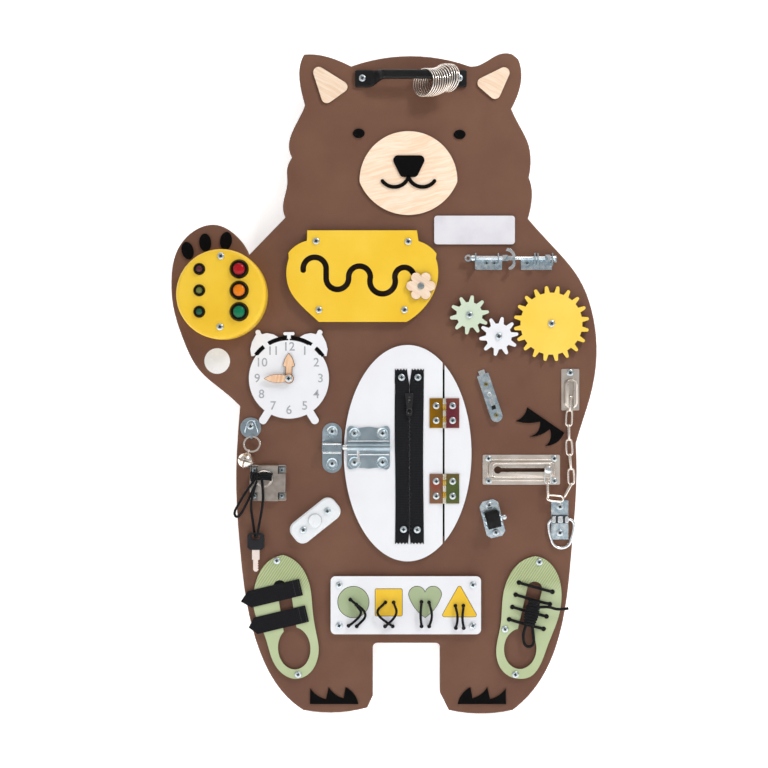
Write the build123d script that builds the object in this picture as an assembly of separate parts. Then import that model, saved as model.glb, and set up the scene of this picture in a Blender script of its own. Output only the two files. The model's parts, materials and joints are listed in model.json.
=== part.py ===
from build123d import *
import math
import os

# A bear-shaped busy board that hangs on a wall.
# Every piece is drawn as it is seen from the front, in millimetres: x to the right, y up, z out of the wall.
# The origin is on the board's flat back, at the middle of its height. The last step stands the drawing up.

# ------------------------------------------------------------------ driving dimensions
# board
BOARD_THICK = 15.0
EDGE_EASE = 1.0
HEAD_TOP = 411.0
LEG_GAP_W = 84.0
LEG_GAP_TOP = -325.0
LEG_GAP_R = 6.0
HANG_HOLE_D = 8.0
HANG_HOLE_DEPTH = 10.0
HANG_SPACING = 160.0
HANG_Y = 325.0

# sheets that the flat pieces are cut from
BIRCH_T = 3.0
FELT_T = 2.0
ACRYLIC_T = 4.0
STEEL_T = 1.5
MAZE_SKIN_T = 4.0
MAZE_DEPTH = 9.0

# screws
SCREW_HEAD_D = 9.0
SMALL_HEAD_D = 6.2
SCREW_HEAD_H = 2.4
SCREW_D = 4.0
SCREW_BITE = 9.0
SCREW_HOLE_GAP = 0.25
TURN_GAP = 0.08
LIFT = 0.3
SLIDE_GAP = 0.3

# pull handle and its rings
HANDLE_X, HANDLE_DROP = 3.5, 31.0
HANDLE_LEN = 139.0
HANDLE_FOOT_L = 27.0
HANDLE_FLARE = 14.5
HANDLE_FOOT_H = 21.5
HANDLE_FOOT_T = 5.0
HANDLE_RISE = 22.0
HANDLE_BAR_H = 11.5
HANDLE_BAR_T = 7.0
HANDLE_SCREW_IN = 9.0
RING_D = 36.0
RING_WIRE = 1.8
RING_COUNT = 12
RING_PITCH = 2.85
RING_YAW = -44.0
RING_FIRST_X = 15.5

# light box
BOX_X = -230.5
BOX_Y = 109.5
BOX_D = 111.0
BOX_DEPTH = 32.0
BOX_WALL = 3.0
BOX_ROUND = 5.0
LAMP_COLUMN_X = -26.5
BUTTON_COLUMN_X = 22.5
ROW_PITCH = 26.2
ROW_SHIFT = 4.4
LAMP_FLANGE_D = 15.0
LAMP_BODY_D = 10.0
LENS_D = 8.0
COLLAR_D = 24.0
COLLAR_BODY_D = 19.0
CAP_D = 15.0
CAP_TRAVEL = 3.0
CELL_D = 10.5
CELL_LEN = 44.5

# gears
GEAR_MODULE = 4.5
GEAR_T = 5.0
SMALL_TEETH = 10
LARGE_TEETH = 20
GEAR_TIP = 2.0
GEAR_ROOT = 6.4
TOOTH_ROOT_W = 7.2
TOOTH_TIP_W = 4.3
GEAR_SPACER_T = 2.0
GEAR_BORE_D = 6.0
YELLOW_X, YELLOW_Y = 178.5, 74.0
WHITE_X, WHITE_Y = 112.5, 58.0

# clock
CLOCK_X, CLOCK_Y = -148.6, 5.6
CLOCK_R = 50.0
HAND_T = 2.5
HAND_GAP = 0.5

# door with its zipper, hinges and latch
DOOR_X, DOOR_Y = -0.5, -87.5
DOOR_HALF_W, DOOR_HALF_H = 79.6, 135.0
DOOR_SPLIT_X = 44.4
DOOR_GAP = 2.4
HINGE_YS = (-37.5, -131.7)
HINGE_H = 37.0
HINGE_LEAF_W = 17.5
HINGE_LEAF_T = 1.4
HINGE_KNUCKLE_R = 2.6
HINGE_PIN_R = 1.2
HINGE_AXIS_X = 45.3
ZIP_X, ZIP_TOP, ZIP_BOTTOM = 1.6, 18.0, -201.0
ZIP_TAPE_W = 15.0
ZIP_TAPE_T = 1.0
ZIP_TEETH_W = 6.0
ZIP_TEETH_T = 2.4
LATCH_X, LATCH_Y = -49.3, -80.7
LATCH_W, LATCH_H = 53.5, 54.0
LATCH_BORE_R = 4.0
LATCH_WALL = 1.2
KEEPER_X, KEEPER_W, KEEPER_H = -94.8, 24.4, 62.5

# flush bolt
FLUSH_TILT = 18.5
FLUSH_W = 15.0
FLUSH_TOP = (93.0, 10.7)
FLUSH_LEN = 62.0
FLUSH_DEPTH = 5.0
FLUSH_TRAVEL = 8.0

# rod bolt at the top right
ROD_Y = 155.3
ROD_RISE = 8.8
ROD_D = 5.0

# door chain
LINK_PITCH = 18.2
LINK_W = 9.0
LINK_WIRE = 1.8
CHAIN_RISE = 6.5
ANCHOR_X, ANCHOR_TOP, ANCHOR_W, ANCHOR_H = 202.7, 17.6, 22.3, 51.8
KEEPER_PLATE = (141.5, -108.3, 96.6, 37.4)
KNOB_X, KNOB_Y = 173.7, -108.1
KNOB_D = 10.0
KNOB_TRAVEL = 52.0

# tie ring and castor
TIE_X, TIE_TOP, TIE_BOTTOM, TIE_W = 189.6, -146.5, -195.4, 21.5
TIE_AXIS_Y = -170.0
TIE_WIRE = 3.6
TIE_RING_W, TIE_RING_DROP = 35.4, 36.0
CASTOR_X, CASTOR_Y, CASTOR_TILT = 105.4, -169.4, 14.0
CASTOR_W, CASTOR_H = 24.0, 47.0
WHEEL_D, WHEEL_W = 22.0, 16.5

# bell set, lock, key and switch
BELL_X, BELL_Y = -196.6, -56.0
BELL_DISC_D = 26.0
SPLIT_RING_D = 21.6
JINGLE_D = 20.0
LOCK_X, LOCK_Y, LOCK_SIZE, LOCK_DEPTH = -174.6, -124.7, 45.0, 8.0
CYLINDER_X, CYLINDER_Y, CYLINDER_D = -179.3, -119.1, 22.0
KEY_X, KEY_TOP = -189.5, -186.5
KEY_HEAD_W, KEY_HEAD_H, KEY_T = 21.0, 21.0, 4.0
KEY_BLADE_W, KEY_BLADE_L = 6.6, 27.0
KEY_SHOULDER_W, KEY_SHOULDER_L = 9.4, 12.3
CORD_D = 3.2
SWITCH_X, SWITCH_Y, SWITCH_TURN = -115.8, -171.3, 38.5
SWITCH_W, SWITCH_H, SWITCH_T = 68.0, 30.0, 9.0
SWITCH_BUTTON_D = 16.8
SWITCH_TRAVEL = 2.0

# shapes plate and shoes
SHAPES_X, SHAPES_Y, SHAPES_W, SHAPES_H = -2.8, -276.9, 187.4, 72.4
SHAPES_T = 6.0
SHAPES_R = 6.0
FIT_GAP = 0.6
STRAP_W, STRAP_T, STRAP_TILT = 21.0, 2.0, 13.5

FACE = BOARD_THICK
BOTTOM = (Align.CENTER, Align.CENTER, Align.MIN)


# ------------------------------------------------------------------ helpers
def slab(face, base, thick):
    """A flat piece: a face carried outwards from base by its thickness."""
    return extrude(Pos(0, 0, base) * face, amount=thick, dir=(0, 0, 1))


def disc(x, y, base, diameter, height):
    """A round piece that stands out of the wall."""
    return Pos(x, y, base) * Cylinder(diameter / 2, height, align=BOTTOM)


def outline(*stretches):
    """A closed face: two points make a line, three an arc, more a smooth curve."""
    edges = []
    for points in stretches:
        if len(points) == 2:
            edges.append(Line(*points))
        elif len(points) == 3:
            edges.append(ThreePointArc(*points))
        else:
            edges.append(Spline(*points))
    return make_face(edges)


def turned(profile):
    """A turned piece: a profile of (radius, z) points spun about the z axis."""
    return revolve(Plane.XZ * Polygon(*profile, align=None), Axis.Z)


def rounded(points, radius):
    """A polygon with every corner rounded."""
    face = Polygon(*points, align=None)
    return fillet(face.vertices(), radius)


def drilled(piece, points, diameter, base=-50.0, depth=150.0):
    """A piece with a round hole through it at each point."""
    for x, y in points:
        piece -= disc(x, y, base, diameter, depth)
    return piece


def placed(piece, x, y, turn=0.0, rise=0.0):
    """A piece drawn about its own centre, set on the board."""
    return Pos(x, y, rise) * Rot(0, 0, turn) * piece


def spot(x, y, turn, dx, dy):
    """Where a point of such a piece comes to lie on the board."""
    angle = math.radians(turn)
    return (x + dx * math.cos(angle) - dy * math.sin(angle), y + dx * math.sin(angle) + dy * math.cos(angle))


def pan_head(head_d=SCREW_HEAD_D):
    """A low twelve-sided head that draws in towards its top."""
    return extrude(RegularPolygon(head_d / 2, 12), amount=SCREW_HEAD_H, taper=30)


def screw(seat, head_d=SCREW_HEAD_D, bite=None):
    """A pan-head screw with its head on the seat; it bites into the board unless told how far to go."""
    length = seat - FACE + SCREW_BITE if bite is None else bite
    shank = extrude(RegularPolygon(SCREW_D / 2, 6), amount=-length)
    return Pos(0, 0, seat) * (pan_head(head_d) + shank)


def screws_at(points, seat, head_d=SCREW_HEAD_D):
    return [Pos(x, y) * screw(seat, head_d) for x, y in points]


SCREW_HOLE = SCREW_D + 2 * SCREW_HOLE_GAP


# ------------------------------------------------------------------ the board
def bear_face():
    """The bear's outline, clockwise from its left ear."""
    gap_half, gap_top, gap_r = LEG_GAP_W / 2, LEG_GAP_TOP, LEG_GAP_R
    gap_mid, top = -2.0, HEAD_TOP
    inner_left, inner_right = gap_mid - gap_half, gap_mid + gap_half
    bear = outline(
        [(-130, top), (-109, top - 1), (-86, top - 8), (-71, top - 15)],
        [(-71, top - 15), (1, top - 2), (77.5, top - 15)],
        [(77.5, top - 15), (90, top - 13), (109, top - 2), (131, top)],
        [(131, top), (138, top - 6)],
        [(138, top - 6), (142, top - 25), (138, top - 48.5), (129, 343)],
        [(129, 343), (140, 321), (151, 297.5), (153.5, 275), (151, 257)],
        [(151, 257), (155, 241), (154.5, 225.5), (150, 205.5)],
        [(150, 205.5), (186, 166), (215, 129), (232.5, 79), (236, 47.5), (230, -9), (219, -46), (210, -75)],
        [(210, -75), (211, -115), (205, -206), (194, -296), (166, -371), (131, -409)],
        [(131, -409), (91, -413.5), (51, -409)],
        [(51, -409), (inner_right, -387)],
        [(inner_right, -387), (inner_right, gap_top)],
        [(inner_right, gap_top), (inner_left, gap_top)],
        [(inner_left, gap_top), (inner_left, -391)],
        [(inner_left, -391), (-51, -406)],
        [(-51, -406), (-87.5, -412), (-131, -409)],
        [(-131, -409), (-159, -384), (-186, -334), (-200, -284), (-210, -209), (-215, -115), (-212.5, -59),
         (-210, -29)],
        [(-210, -29), (-232.5, -9), (-261, 16), (-281, 54), (-295, 104), (-296, 126.5), (-290, 163), (-271, 188),
         (-241.5, 198), (-219, 188), (-199, 160)],
        [(-199, 160), (-153.5, 207)],
        [(-153.5, 207), (-156, 226), (-151, 250), (-151.5, 262), (-145, 282)],
        [(-145, 282), (-149, 294.5), (-144, 316), (-129, 347.5)],
        [(-129, 347.5), (-134, top - 43.5), (-136, top - 20), (-130, top)],
    )
    corners = [v for v in bear.vertices() if abs(v.Y - gap_top) < 0.01]
    return fillet(corners, gap_r)


def bear_board():
    board = slab(bear_face(), 0, BOARD_THICK)
    board = chamfer(board.faces().sort_by(Axis.Z)[-1].edges(), EDGE_EASE)
    for side in (-1, 1):
        board -= disc(side * HANG_SPACING / 2, HANG_Y, 0, HANG_HOLE_D, HANG_HOLE_DEPTH)
    return board


def ears_and_snout():
    top = HEAD_TOP
    left_ear = rounded([(-124, top - 7), (-70, top - 41), (-105, top - 66)], 7)
    right_ear = rounded([(134, top - 9), (81, top - 35), (111, top - 61)], 7)
    snout = outline([(-60.5, 251), (0.5, 314.5), (61.5, 251)], [(61.5, 251), (0.5, 209.7), (-60.5, 251)])
    return [slab(face, FACE, BIRCH_T) for face in (left_ear, right_ear, snout)]


def mouth_face():
    """Two hanging arcs that meet under the nose, cut with a round tool."""
    left = SlotArc(ThreePointArc((-32, 252), (-13, 245), (0.5, 257)), 4.6)
    right = SlotArc(ThreePointArc((0.5, 257), (14, 245), (33, 252)), 4.6)
    return left + right


def face_and_claws():
    eyes = [Pos(x, y) * Ellipse(7.4, 5.8) for x, y in ((-61.5, 312), (64.5, 310.5))]
    nose = rounded([(-22, 284), (24, 284), (11, 257), (-9, 257)], 6)
    pads = [Pos(x, y) * Rot(0, 0, turn) * Ellipse(7.4, 11.2)
            for x, y, turn in ((-275.4, 165.4, 14), (-253.3, 175.5, 4), (-227.4, 177.6, -8))]
    hand = outline([(149, -30.5), (195, -62)], [(195, -62), (187, -73), (171.5, -78.5)],
                   [(171.5, -78.5), (178, -70), (177, -57.5)], [(177, -57.5), (167, -64), (152, -67)],
                   [(152, -67), (163, -59), (165, -48)], [(165, -48), (152, -50), (134.5, -47.5)],
                   [(134.5, -47.5), (144, -41), (149, -30.5)])
    left_foot = outline([(-62, -401), (-122.5, -401)], [(-122.5, -401), (-122, -381.5)],
                        [(-122, -381.5), (-114, -390), (-102.5, -395)], [(-102.5, -395), (-99, -380)],
                        [(-99, -380), (-91, -389), (-80.5, -394)], [(-80.5, -394), (-78, -380)],
                        [(-78, -380), (-68, -388), (-62, -401)])
    pieces = [slab(face, FACE, FELT_T) for face in (*eyes, *pads, hand, left_foot)]
    pieces.append(mirror(pieces[-1], about=Plane.YZ))
    raised = [nose, mouth_face()]
    return pieces + [slab(face, FACE + BIRCH_T, FELT_T) for face in raised]


# ------------------------------------------------------------------ pull handle and rings
HANDLE_Y = HEAD_TOP - HANDLE_DROP
HANDLE_END = HANDLE_LEN / 2
KNEE_X = HANDLE_END - HANDLE_FOOT_L
HANDLE_FEET = [(HANDLE_X + side * (HANDLE_END - HANDLE_SCREW_IN), HANDLE_Y) for side in (-1, 1)]
BAR_Z = FACE + HANDLE_RISE


def handle_front():
    """Seen from the front: a tall foot at each end, drawn in to the slim bar by a hollow curve."""
    foot_y, bar_y = HANDLE_FOOT_H / 2, HANDLE_BAR_H / 2
    foot_x, bar_x = KNEE_X, KNEE_X - HANDLE_FLARE
    middle = ((foot_x + bar_x) / 2, bar_y + 0.28 * (foot_y - bar_y))
    half = outline([(0, 0), (HANDLE_END, 0)], [(HANDLE_END, 0), (HANDLE_END, foot_y)],
                   [(HANDLE_END, foot_y), (foot_x, foot_y)], [(foot_x, foot_y), middle, (bar_x, bar_y)],
                   [(bar_x, bar_y), (0, bar_y)], [(0, bar_y), (0, 0)])
    quarter_pair = half + mirror(half, about=Plane.YZ)
    face = quarter_pair + mirror(quarter_pair, about=Plane.XZ)
    return fillet([v for v in face.vertices() if abs(v.X) > HANDLE_END - 0.01 and abs(v.Y) > 1], 4)


def handle_side():
    """Seen from above: flat feet, sloping legs and the bar that stands clear of the board."""
    foot, bar = HANDLE_FOOT_T, HANDLE_BAR_T / 2
    leg, knee = HANDLE_END - HANDLE_SCREW_IN - SCREW_HEAD_D / 2 - 1, KNEE_X
    corners = [(HANDLE_END, 0), (HANDLE_END, foot), (leg, foot), (knee, HANDLE_RISE + bar)]
    inner = [(knee - 4, HANDLE_RISE - bar), (leg - 4.5, 0)]
    left = [(-x, z) for x, z in reversed(corners)]
    return Polygon(*corners, *left, *[(-x, z) for x, z in reversed(inner)], *inner, align=None)


def pull_handle():
    """The front outline and the side outline cut from one block."""
    side = Plane.XZ * handle_side()
    arch = extrude(side, amount=HANDLE_FOOT_H, both=True)
    lengthways = arch.edges().filter_by(Axis.Y)
    knees = [e for e in lengthways if e.center().Z > HANDLE_FOOT_T + 1]
    arch = fillet(knees, HANDLE_BAR_T * 0.7)
    handle = arch & slab(handle_front(), 0, 2 * HANDLE_RISE)
    return drilled(Pos(HANDLE_X, HANDLE_Y, FACE) * handle, HANDLE_FEET, SCREW_HOLE)


def handle_rings():
    """Round rings that hang from the bar, all turned the same way; the last ones climb the bar's leg."""
    outer, inner = RING_D / 2, RING_D / 2 - RING_WIRE
    wall = RING_WIRE / 2
    ring = slab(RegularPolygon(outer, 32) - RegularPolygon(inner, 32), -wall, 2 * wall)
    reach = (HANDLE_BAR_T / 2 + wall) / math.sin(math.radians(-RING_YAW)) + LIFT
    hang = HANDLE_BAR_H / 2 + 2 * LIFT - math.sqrt((inner - 0.1) ** 2 - reach ** 2)
    rings = []
    for i in range(RING_COUNT):
        x = RING_FIRST_X + i * RING_PITCH
        flare = min(1.0, max(0.0, (x + HANDLE_BAR_T / 2 - KNEE_X + HANDLE_FLARE) / HANDLE_FLARE)) ** 1.85
        climb = flare * ((HANDLE_FOOT_H - HANDLE_BAR_H) / 2 + 2 * LIFT)
        dip = 0.3 * max(0.0, x - KNEE_X)
        place = Pos(HANDLE_X + x, HANDLE_Y + hang + climb, BAR_Z - dip)
        rings.append(place * Rot(0, RING_YAW, 0) * ring)
    return rings


# ------------------------------------------------------------------ light box
BOX_FRONT = FACE + BOX_DEPTH
ROWS = [ROW_SHIFT + i * ROW_PITCH for i in (1, 0, -1)]
BOX_SCREWS = [(BOX_X, BOX_Y + 46.5), (BOX_X - 1.0, BOX_Y - 40.5)]


def light_box():
    outer = BOX_D / 2
    shell = turned([(0, 0), (outer, 0), (outer, BOX_DEPTH), (0, BOX_DEPTH)])
    shell = fillet(shell.edges().filter_by(GeomType.CIRCLE).group_by(Axis.Z)[-1], BOX_ROUND)
    shell -= Cylinder(outer - BOX_WALL, BOX_DEPTH - BOX_WALL, align=BOTTOM)
    for y in ROWS:
        shell -= disc(LAMP_COLUMN_X, y, 0, LAMP_BODY_D, BOX_DEPTH)
        shell -= disc(BUTTON_COLUMN_X, y, 0, COLLAR_BODY_D, BOX_DEPTH)
    return drilled(placed(shell, BOX_X, BOX_Y, rise=FACE), BOX_SCREWS, SCREW_HOLE)


def lamps_and_collars():
    body, flange, lens = LAMP_BODY_D / 2, LAMP_FLANGE_D / 2, LENS_D / 2
    holder = turned([(lens, -9), (body, -9), (body, 0), (flange, 0), (flange - 1.2, 2.4), (lens, 2.4)])
    glow = turned([(0, -7), (lens, -7), (lens, 2.6), (lens * 0.6, 4.4), (0, 4.8)])
    barrel, collar, bore = COLLAR_BODY_D / 2, COLLAR_D / 2, CAP_D / 2 + SLIDE_GAP
    ring = turned([(0, -14), (barrel, -14), (barrel, 0), (collar, 0), (collar - 2.0, 4.0), (bore, 4.0),
                   (bore, -12), (0, -12)])
    pieces = []
    for y in ROWS:
        for piece in (holder, glow):
            pieces.append(placed(piece, BOX_X + LAMP_COLUMN_X, BOX_Y + y, rise=BOX_FRONT))
        pieces.append(placed(ring, BOX_X + BUTTON_COLUMN_X, BOX_Y + y, rise=BOX_FRONT))
    return pieces


def box_button(row):
    """A domed push cap with its plunger, carried on a spring in the collar."""
    cap = CAP_D / 2
    plunger = turned([(0, -12 + CAP_TRAVEL + SLIDE_GAP), (cap * 0.5, -12 + CAP_TRAVEL + SLIDE_GAP), (cap * 0.5, -4),
                      (cap, -4), (cap, 6.0), (cap * 0.7, 8.0), (0, 8.8)])
    return placed(plunger, BOX_X + BUTTON_COLUMN_X, BOX_Y + ROWS[row], rise=BOX_FRONT)


def battery_pack():
    """A tray for two cells, fixed to the board inside the light box."""
    wall, gap = 1.2, 0.3
    pitch = CELL_D + wall
    tray = Box(CELL_LEN + 2 * (wall + gap), 2 * pitch + wall + 2 * gap, CELL_D, align=BOTTOM)
    cells = []
    for side in (-0.5, 0.5):
        lane = Rot(0, 90, 0) * Cylinder(CELL_D / 2 + gap, CELL_LEN + 2 * gap)
        lane_z = wall + CELL_D / 2 + gap
        tray -= Pos(0, side * pitch, lane_z) * (lane + Pos(0, 0, CELL_D) * Box(CELL_LEN, CELL_D, 2 * CELL_D))
        cells.append(Pos(0, side * pitch, lane_z - gap) * Rot(0, 90, 0) * Cylinder(CELL_D / 2, CELL_LEN))
    return [placed(piece, BOX_X - 3, BOX_Y - 8, rise=FACE) for piece in (tray, *cells)]


# ------------------------------------------------------------------ maze
MAZE_SCREWS = [(-114.5, 176.5), (0, 176), (-111, 91), (-4.5, 91)]
SLOT_W = 7.0
CHANNEL_W = 15.0
SLOT_TURN = (5.0, 139.0)
SLOT_END = (15.8, 120.5)


def slot_path():
    """The wavy route of the maze, in round turns and one last straight."""
    return Wire([
        Edge.make_three_point_arc((-130.5, 140.5), (-116, 156.5), (-102, 141)),
        Edge.make_line((-102, 141), (-102, 131)),
        Edge.make_three_point_arc((-102, 131), (-88, 116.5), (-74, 131)),
        Edge.make_three_point_arc((-74, 131), (-60.5, 145.5), (-47, 131)),
        Edge.make_three_point_arc((-47, 131), (-31, 111), (-16.5, 131)),
        Edge.make_three_point_arc((-16.5, 131), (-8, 143.4), (SLOT_TURN[0], SLOT_TURN[1])),
        Edge.make_line(SLOT_TURN, SLOT_END),
    ])


def slot_face(width):
    return make_face(slot_path().offset_2d(width / 2, side=Side.BOTH).edges())


def maze_plate():
    left = [(-125.5, 190), (-126, 177), (-149, 162), (-148.5, 155), (-151.5, 139), (-148, 117.5), (-134, 97.5),
            (-111, 76)]
    right = [(-2, 76), (22.5, 97), (34, 117.5), (37.5, 138), (34.5, 155), (35.5, 161), (13, 176.5), (11, 190)]
    pot = outline([left[0], left[1]], [left[1], (-138, 172), left[2]], [left[2], left[3]], left[3:],
                  [left[-1], right[0]], right[:5], [right[4], right[5]], [right[5], (25, 171), right[6]],
                  [right[6], right[7]], [right[7], left[0]])
    plate = slab(pot, FACE, MAZE_DEPTH)
    plate -= slab(slot_face(SLOT_W), FACE, MAZE_DEPTH)
    plate -= slab(slot_face(CHANNEL_W), FACE, MAZE_DEPTH - MAZE_SKIN_T)
    return drilled(plate, MAZE_SCREWS, SCREW_HOLE)


def flower_bolt():
    """The disc that runs behind the plate, its neck in the slot and the screw head in front."""
    foot, neck = CHANNEL_W / 2 - SLIDE_GAP * 2, SLOT_W / 2 - SLIDE_GAP
    skin_back, skin_front = MAZE_DEPTH - MAZE_SKIN_T, MAZE_DEPTH
    front = skin_front + 2 * LIFT + ACRYLIC_T
    bolt = turned([(0, skin_back - 3), (foot, skin_back - 3), (foot, skin_back - LIFT), (neck, skin_back - LIFT),
                   (neck, skin_front + LIFT), (2.0, skin_front + LIFT), (2.0, front), (0, front)])
    return placed(bolt + Pos(0, 0, front) * pan_head(), *SLOT_END, rise=FACE)


def flower():
    petals = Circle(9.0)
    for i in range(6):
        petals += Rot(0, 0, 60 * i) * Pos(12, 0) * Circle(6.3)
    face = petals - Circle(2.0 + TURN_GAP)
    return placed(slab(face, MAZE_DEPTH + 1.5 * LIFT, ACRYLIC_T), *SLOT_END, rise=FACE)


# ------------------------------------------------------------------ gears
GEAR_Z = FACE + GEAR_SPACER_T + LIFT


def gear_face(teeth):
    """A toy gear with slender, tapered, round-tipped teeth; the first tooth points along x."""
    pitch_r = GEAR_MODULE * teeth / 2
    tip, root = pitch_r + GEAR_TIP, pitch_r - GEAR_ROOT
    tip_r = TOOTH_TIP_W / 2
    tooth = outline([(root - 2, -TOOTH_ROOT_W / 2), (tip - tip_r, -tip_r)],
                    [(tip - tip_r, -tip_r), (tip, 0), (tip - tip_r, tip_r)],
                    [(tip - tip_r, tip_r), (root - 2, TOOTH_ROOT_W / 2)],
                    [(root - 2, TOOTH_ROOT_W / 2), (root - 2, -TOOTH_ROOT_W / 2)])
    face = Circle(root)
    for i in range(teeth):
        face += Rot(0, 0, 360 * i / teeth) * tooth
    return face - Circle(GEAR_BORE_D / 2 + TURN_GAP)


def green_centre():
    """The green gear stands one pitch away from the white one, up and to its left."""
    reach = GEAR_MODULE * SMALL_TEETH
    angle = math.radians(143.3)
    return WHITE_X + reach * math.cos(angle), WHITE_Y + reach * math.sin(angle)


def white_centre():
    reach = GEAR_MODULE * (SMALL_TEETH + LARGE_TEETH) / 2
    angle = math.atan2(WHITE_Y - YELLOW_Y, WHITE_X - YELLOW_X)
    return YELLOW_X + reach * math.cos(angle), YELLOW_Y + reach * math.sin(angle)


def gear_pivot(x, y):
    """A spacer washer and a shoulder screw that the gear turns on."""
    top = GEAR_SPACER_T + GEAR_T + 2 * LIFT
    washer = slab(RegularPolygon(GEAR_BORE_D / 2 + 4, 16), 0, GEAR_SPACER_T) - disc(0, 0, 0, GEAR_BORE_D + 0.2, 9)
    shoulder = disc(0, 0, 0, GEAR_BORE_D, top) + screw(top, bite=top + SCREW_BITE)
    return [placed(piece, x, y, rise=FACE) for piece in (washer, shoulder)]


# ------------------------------------------------------------------ clock
def clock_face():
    """An alarm clock in outline: round dial, two bells with knobs, a top bar and two feet."""
    face = Circle(CLOCK_R)
    for side in (-1, 1):
        bell = Pos(side * 30.5, 43.5) * Rot(0, 0, -side * 34) * (
            Circle(19.5) & Pos(0, 10) * Rectangle(60, 20))
        knob = Pos(side * 41, 57.5) * Circle(3.0)
        foot = Pos(side * 28.5, -46) * Rot(0, 0, side * 32) * RectangleRounded(10, 24, 4.9)
        face += bell + knob + foot
    face += Pos(0, 51) * Rectangle(4.5, 10) + Pos(0, 56) * RectangleRounded(14, 4, 1.9)
    for start, sweep_angle in ((61, 27), (92, 27), (38, 14), (128, 14)):
        arc = CenterArc((0, 0), CLOCK_R - 1.2, start, sweep_angle)
        face -= SlotArc(arc, 2.0)
    return placed(drilled(slab(face, 0, ACRYLIC_T), [(0, 0)], SCREW_HOLE), CLOCK_X, CLOCK_Y, rise=FACE)


HAND_BORE = 5.0
HOUR_Z = ACRYLIC_T + HAND_GAP
MINUTE_Z = HOUR_Z + HAND_T + HAND_GAP


def clock_pivot():
    """The screw that both hands turn on."""
    top = MINUTE_Z + HAND_T + LIFT
    shoulder = disc(0, 0, ACRYLIC_T, HAND_BORE, top - ACRYLIC_T)
    return placed(shoulder + screw(top, bite=top + SCREW_BITE), CLOCK_X, CLOCK_Y, rise=FACE)


def hour_hand():
    """A spade: a straight shaft and a leaf-shaped head."""
    head = outline([(0, 32), (-4, 23), (-6.6, 16)], [(-6.6, 16), (-5, 10.5), (-3.6, 10)], [(-3.6, 10), (3.6, 10)],
                   [(3.6, 10), (5, 10.5), (6.6, 16)], [(6.6, 16), (4, 23), (0, 32)])
    face = Circle(6.0) + Pos(0, 3) * Rectangle(7.6, 20) + head - Circle(HAND_BORE / 2 + TURN_GAP)
    return placed(slab(face, HOUR_Z, HAND_T), CLOCK_X, CLOCK_Y, turn=-1.5, rise=FACE)


def minute_hand():
    """A slim leaf that tapers to both ends."""
    leaf = outline([(5, 0), (-11, 5.3), (-31, 0)], [(-31, 0), (-11, -5.3), (5, 0)])
    face = Circle(6.0) + leaf - Circle(HAND_BORE / 2 + TURN_GAP)
    return placed(slab(face, MINUTE_Z, HAND_T), CLOCK_X, CLOCK_Y, rise=FACE)


# ------------------------------------------------------------------ door
DOOR_FRONT = FACE + ACRYLIC_T
HINGE_Z = DOOR_FRONT + HINGE_KNUCKLE_R + 0.2
HINGE_SCREW_X = 12.0
HINGE_SCREW_Y = 10.8


def door_oval():
    return Pos(DOOR_X, DOOR_Y) * Ellipse(DOOR_HALF_W, DOOR_HALF_H)


def door_half(side):
    """The oval cut along the hinge line: the door on the left, the fixed slice on the right."""
    edge = DOOR_SPLIT_X + side * DOOR_GAP / 2
    keep = Pos(edge + side * 150, DOOR_Y) * Rectangle(300, 400)
    return slab(door_oval() & keep, FACE, ACRYLIC_T)


def hinge_holes(side):
    return [(HINGE_AXIS_X + side * HINGE_SCREW_X * 0.85, y + dy) for y in HINGE_YS
            for dy in (-HINGE_SCREW_Y * 0.85, HINGE_SCREW_Y * 0.85)]


def hinge_leaves(side):
    """One leaf of each butt hinge: the plate, and its share of the five knuckles with a bore for the pin."""
    knuckles = 5
    step = HINGE_H / knuckles
    pieces = []
    for y in HINGE_YS:
        mid = HINGE_AXIS_X + side * (HINGE_LEAF_W / 2 + 1.0)
        leaf = Pos(mid, y, DOOR_FRONT) * Box(HINGE_LEAF_W, HINGE_H, HINGE_LEAF_T, align=BOTTOM)
        for i in range(knuckles):
            mine = (i % 2 == 0) == (side > 0)
            middle = y + (i - (knuckles - 1) / 2) * step
            length = step - 2 * LIFT
            barrel = Pos(HINGE_AXIS_X, middle, HINGE_Z) * Rot(90, 0, 0) * Cylinder(HINGE_KNUCKLE_R, length)
            if mine:
                web = Pos(HINGE_AXIS_X + side * 1.6, middle, DOOR_FRONT) * Box(3.2, length, HINGE_LEAF_T, align=BOTTOM)
                leaf += barrel + web
            else:
                room = Cylinder(HINGE_KNUCKLE_R + LIFT, step + 0.02)
                leaf -= Pos(HINGE_AXIS_X, middle, HINGE_Z) * Rot(90, 0, 0) * room
        bore_r = HINGE_PIN_R if side > 0 else HINGE_PIN_R + TURN_GAP
        leaf -= Pos(HINGE_AXIS_X, y, HINGE_Z) * Rot(90, 0, 0) * Cylinder(bore_r, HINGE_H + 2)
        pieces.append(leaf)
        if side > 0:
            pieces.append(Pos(HINGE_AXIS_X, y, HINGE_Z) * Rot(90, 0, 0) * Cylinder(HINGE_PIN_R, HINGE_H))
    return [drilled(piece, hinge_holes(side), SCREW_HOLE) for piece in pieces]


LATCH_SCREWS = [(LATCH_X + dx, LATCH_Y + dy) for dx in (-17.5, 17.5) for dy in (-18, 18)]
ZIP_SCREWS = [(ZIP_X + dx, y) for dx, y in ((-9.6, 7.0), (10.6, 7.0), (-7.2, -182.5), (9.8, -183.0))]


def door_screws():
    hinge_seat, zip_seat, latch_seat = DOOR_FRONT + HINGE_LEAF_T, DOOR_FRONT + ZIP_TAPE_T, DOOR_FRONT + STEEL_T
    places = [(p, hinge_seat) for p in hinge_holes(-1)]
    places += [(p, zip_seat) for p in ZIP_SCREWS] + [(p, latch_seat) for p in LATCH_SCREWS]
    return [Pos(*p) * screw(seat, bite=seat - FACE - LIFT) for p, seat in places]


def door_panel():
    points = hinge_holes(-1) + ZIP_SCREWS + LATCH_SCREWS
    return drilled(door_half(-1), points, SCREW_HOLE)


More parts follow.
